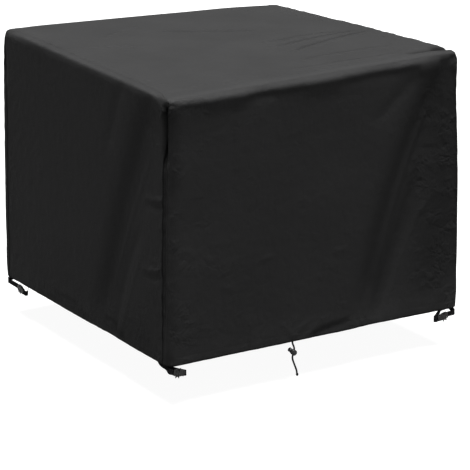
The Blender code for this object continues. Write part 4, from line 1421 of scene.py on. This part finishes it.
def finish_named(name):
    """The finish of that name, built the first time that it is asked for."""
    tint = colours()
    woven = {  # yarn spacing, depth of the weave, roughness, specular level
        "coated_cloth": (tint.cloth, 0.00062, 0.00010, 0.60, 0.04, 0.0, True),
        "seam_tape": (tint.lining, 0.00050, 0.00004, 0.50, 0.30),
        "strap_webbing": (tint.webbing, 0.00125, 0.00022, 0.80, 0.05),
        "braided_cord": (tint.cord, 0.00055, 0.00016, 0.80, 0.03, math.pi / 4)}
    moulded = {  # roughness, specular level
        "sewing_thread": (tint.thread, 0.80, 0.04), "buckle_plastic": (tint.buckle, 0.45, 0.03),
        "lock_plastic": (tint.lock, 0.32, 0.22)}
    found = bpy.data.materials.get(name)
    if found:
        return found
    if name in woven:
        return woven_material(name, *woven[name])
    return moulded_material(name, *moulded[name])


def fit(piece, node=None, body="cover"):
    """Put a piece on its body, in place of a solid if it has one."""
    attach(piece, body)
    if node:
        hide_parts(node)


def around_up(azimuth, out, up):
    """Vector towards an azimuth, which is measured from the front wall's direction."""
    return Vector((-math.sin(azimuth) * out, -math.cos(azimuth) * out, up))


# ---- Operators ----
class CoverStage(bpy.types.Operator):
    """Floor, soft light and the camera"""
    bl_idname = "cover.stage"
    bl_label = "Studio"

    def execute(self, context):
        back = around_up(VIEW_AZIMUTH, math.cos(VIEW_ELEVATION), math.sin(VIEW_ELEVATION))
        right = Vector((math.cos(VIEW_AZIMUTH), -math.sin(VIEW_AZIMUTH), 0.0))
        up = back.cross(right)
        data = bpy.data.cameras.new("view")
        data.sensor_width = SENSOR
        data.lens = VIEW_LENS
        data.clip_end = 1.5 * FLOOR_SIZE
        camera = bpy.data.objects.new("view", data)
        middle = Vector((0.0, 0.0, -sizes().drop / 2))
        place = middle + back * VIEW_DISTANCE + right * VIEW_RIGHT - up * VIEW_DOWN
        camera.matrix_world = framed(place, right, up, back)
        context.scene.collection.objects.link(camera)
        context.scene.camera = camera
        context.scene.view_settings.view_transform = "Standard"

        clear_selection()
        bpy.ops.mesh.primitive_plane_add(size=FLOOR_SIZE, location=(0.0, 0.0, -sizes().floor_drop))
        floor = bpy.context.object
        floor.name = "floor"
        floor.data.materials.append(self.floor_material())

        world = bpy.data.worlds.new("studio")
        world.use_nodes = True
        context.scene.world = world
        tree = world.node_tree
        around = put(tree, "ShaderNodeTexCoord").outputs["Generated"]
        facing = put(tree, "ShaderNodeVectorMath", {0: around, 1: around_up(ROOM_AZIMUTH, 1.0, 0.0)},
                     operation="DOT_PRODUCT")
        level = put(tree, "ShaderNodeMapRange", {"Value": facing.outputs["Value"], "From Min": -1.0,
                                                 "To Min": ROOM_BACK, "To Max": ROOM_FRONT}).outputs[0]
        seen = put(tree, "ShaderNodeLightPath").outputs["Is Camera Ray"]
        feed(tree, tree.nodes["Background"], {"Color": colours().floor,
                                              "Strength": calc(tree, "MAXIMUM", seen, level)})

        light = bpy.data.lights.new("overhead", "SUN")
        light.energy = KEY_STRENGTH
        light.angle = math.radians(KEY_SPREAD)
        lamp = bpy.data.objects.new("overhead", light)
        lean = around_up(KEY_AZIMUTH, math.sin(KEY_LEAN), math.cos(KEY_LEAN))
        lamp.matrix_world = aimed(lean * 4.0, lean)
        context.scene.collection.objects.link(lamp)
        return {"FINISHED"}

    @staticmethod
    def floor_material():
        """Pale floor: it glows a little for the camera, so that the studio stays bright and plain."""
        material = bpy.data.materials.new("studio_floor")
        material.use_nodes = True
        tree = material.node_tree
        tree.nodes.remove(tree.nodes["Principled BSDF"])
        seen = put(tree, "ShaderNodeLightPath").outputs["Is Camera Ray"]
        glow = put(tree, "ShaderNodeEmission", {"Color": colours().floor,
                                                "Strength": calc(tree, "MULTIPLY", seen, FLOOR_GLOW)})
        matt = put(tree, "ShaderNodeBsdfDiffuse", {"Color": (*(FLOOR_GREY,) * 3, 1.0)})
        both = put(tree, "ShaderNodeAddShader", {0: glow.outputs[0], 1: matt.outputs[0]})
        feed(tree, tree.nodes["Material Output"], {"Surface": both.outputs[0]})
        return material


class CoverDrawCord(bpy.types.Operator):
    """The draw cord from the hem to its knot"""
    bl_idname = "cover.draw_cord"
    bl_label = "Draw Cord"

    def execute(self, context):
        line = draw_cord_line()
        material = finish_named("braided_cord")
        points, faces, flat = tube(line, sizes().cord / 2, CORD_SIDES, braid)
        fit(mesh_object("cover_draw_cord", points, faces, material, flat), "draw_cord")
        fit(knot_object("cover_cord_knot", line, material), "draw_cord_knot")
        return {"FINISHED"}


class CoverCordLock(bpy.types.Operator):
    """The spring lock on the draw cord, with its button"""
    bl_idname = "cover.cord_lock"
    bl_label = "Cord Lock"

    def execute(self, context):
        route = [Vector(cord_place(*point)) for point in CORD_ROUTE]
        crossing = route[LOCK_ON_ROUTE]
        axis = Vector((math.cos(LOCK_TILT), 0.0, -math.sin(LOCK_TILT)))
        turn = aimed(crossing - axis * LOCK_CROSSING, axis)
        bore = ((BORE_FLOOR, 0.0012), (BORE_FLOOR, BORE_RADIUS), (BARREL_OUTSIDE[0][0], BORE_RADIUS))
        barrel = turned("cover_lock_barrel", bore + BARREL_OUTSIDE)
        barrel.data.transform(turn)
        outward_faces(barrel)

        clear_selection()
        bpy.ops.mesh.primitive_cylinder_add(radius=HOLE_RADIUS, depth=0.030, vertices=40)
        drill = bpy.context.object
        drill.data.transform(aimed(crossing, route[LOCK_ON_ROUTE - 1] - route[LOCK_ON_ROUTE + 1]))
        apply_modifier(barrel, "BOOLEAN", operation="DIFFERENCE", solver="EXACT", object=drill)
        remove(drill)
        finish_modelling(barrel, finish_named("lock_plastic"), 0.00022, segments=2, angle=50)

        stem = ((BUTTON_HEAD[-1][0], STEM_RADIUS), (STEM_END, STEM_RADIUS), (STEM_END, 0.0016))
        button = turned("cover_lock_button", BUTTON_HEAD + stem)
        choose(button, "FACE", lambda face: face.normal.z < -0.9
               and abs(face.calc_center_median().z - BUTTON_HEAD[0][0]) < 0.0002)
        bpy.ops.mesh.inset(thickness=0.0004, depth=-0.0003)
        bpy.ops.object.mode_set(mode="OBJECT")
        button.data.transform(turn)
        finish_modelling(button, finish_named("lock_plastic"), 0.0)

        fit(barrel, "cord_lock_barrel")
        fit(button, "cord_lock_button", "lock_button")
        line = draw_cord_line()
        return {"FINISHED"}


class CoverPanels(bpy.types.Operator):
    """The wrap panel and the two end panels"""
    bl_idname = "cover.panels"
    bl_label = "Cloth Panels"

    def execute(self, context):
        pieces = []
        for node, grid in (("wrap_panel", wrap_grid()), ("end_panel_left", end_grid(-1)),
                           ("end_panel_right", end_grid(1))):
            pieces.append(panel_object("cover_" + node, *grid, finish_named("coated_cloth")))
            fit(pieces[-1], node)
        return {"FINISHED"}


class CoverSeams(bpy.types.Operator):
    """Rows of stitches along the seams and the casing, and the tapes sealed inside the seams"""
    bl_idname = "cover.seams"
    bl_label = "Seams"

    def execute(self, context):
        beside = (-STITCH_ROW, STITCH_ROW)
        rows = {
            "top": [top_seam_line(side, offset) for side in (-1, 1) for offset in beside],
            "wall": [wall_seam_line(x, y, offset)
                     for x in (-1, 1) for y in (-1, 1) for offset in beside],
            "hem": hem_lines(),
        }
        for name, lines in rows.items():
            fit(stitches_object(f"cover_{name}_stitches", lines, finish_named("sewing_thread")))
        offsets = [TAPE_STEP * k for k in range(-2 - TAPE_SPARE, 3 + TAPE_SPARE)]
        tapes = {f"top_tape_{word}": [top_seam_line(side, offset, 0.005) for offset in offsets]
                 for side, word in ((-1, "left"), (1, "right"))}
        tapes.update((f"wall_tape_{corner.name}", wall_tape_lines(corner, offsets))
                     for corner in CORNERS)
        for name, lines in tapes.items():
            fit(tape_object("cover_" + name, lines, finish_named("seam_tape")))
        return {"FINISHED"}


class CoverLegStraps(bpy.types.Operator):
    """The webbing that goes round each leg"""
    bl_idname = "cover.leg_straps"
    bl_label = "Leg Straps"

    def execute(self, context):
        for strap in LEG_STRAPS:
            for length_word, table, buckle_end in (("long", LONG_STRAP, -1), ("short", SHORT_STRAP, 0)):
                node = f"strap_{length_word}_{strap.corner}"
                fit(webbing_object("cover_" + node, strap, table, buckle_end,
                                   finish_named("strap_webbing")), node)
        return {"FINISHED"}


class CoverBuckles(bpy.types.Operator):
    """The side-release buckles on the leg straps"""
    bl_idname = "cover.buckles"
    bl_label = "Buckles"

    def execute(self, context):
        material = finish_named("buckle_plastic")
        run = buckle_frame(LEG_STRAPS[0])[1]
        shapes = {"socket": socket_shape(material), "plug": plug_shape(run, material)}
        for strap in LEG_STRAPS:
            for half, shape in shapes.items():
                node = f"buckle_{half}_{strap.corner}"
                fit(placed_copy("cover_" + node, shape, buckle_frame(strap)[0]), node)
        for shape in shapes.values():
            remove(shape)
        return {"FINISHED"}


class CoverSidebar(bpy.types.Panel):
    """Sizes, colours and pieces of the cover"""
    bl_idname = "VIEW3D_PT_cover"
    bl_label = "Furniture Cover"
    bl_space_type = "VIEW_3D"
    bl_region_type = "UI"
    bl_category = "Cover"

    def draw(self, context):
        layout = self.layout
        for operator in OPERATORS:
            layout.operator(operator.bl_idname)
        for group in (context.scene.cover_sizes, context.scene.cover_colours):
            box = layout.box()
            for name in group.__annotations__:
                box.prop(group, name)


OPERATORS = (CoverStage, CoverDrawCord, CoverCordLock, CoverPanels, CoverSeams, CoverLegStraps,
             CoverBuckles)
CLASSES = (CoverSizes, CoverColours, *OPERATORS, CoverSidebar)


def register():
    """Register the classes and the settings."""
    for cls in CLASSES:
        bpy.utils.register_class(cls)
    bpy.types.Scene.cover_sizes = bpy.props.PointerProperty(type=CoverSizes)
    bpy.types.Scene.cover_colours = bpy.props.PointerProperty(type=CoverColours)


def unregister():
    """Take the settings and the classes away again."""
    del bpy.types.Scene.cover_sizes
    del bpy.types.Scene.cover_colours
    for cls in reversed(CLASSES):
        bpy.utils.unregister_class(cls)


def main():
    """Build everything in order."""
    register()
    bpy.ops.cover.stage()
    bpy.ops.cover.draw_cord()
    bpy.ops.cover.cord_lock()
    bpy.ops.cover.panels()
    bpy.ops.cover.seams()
    bpy.ops.cover.leg_straps()
    bpy.ops.cover.buckles()


if __name__ == "__main__":
    main()
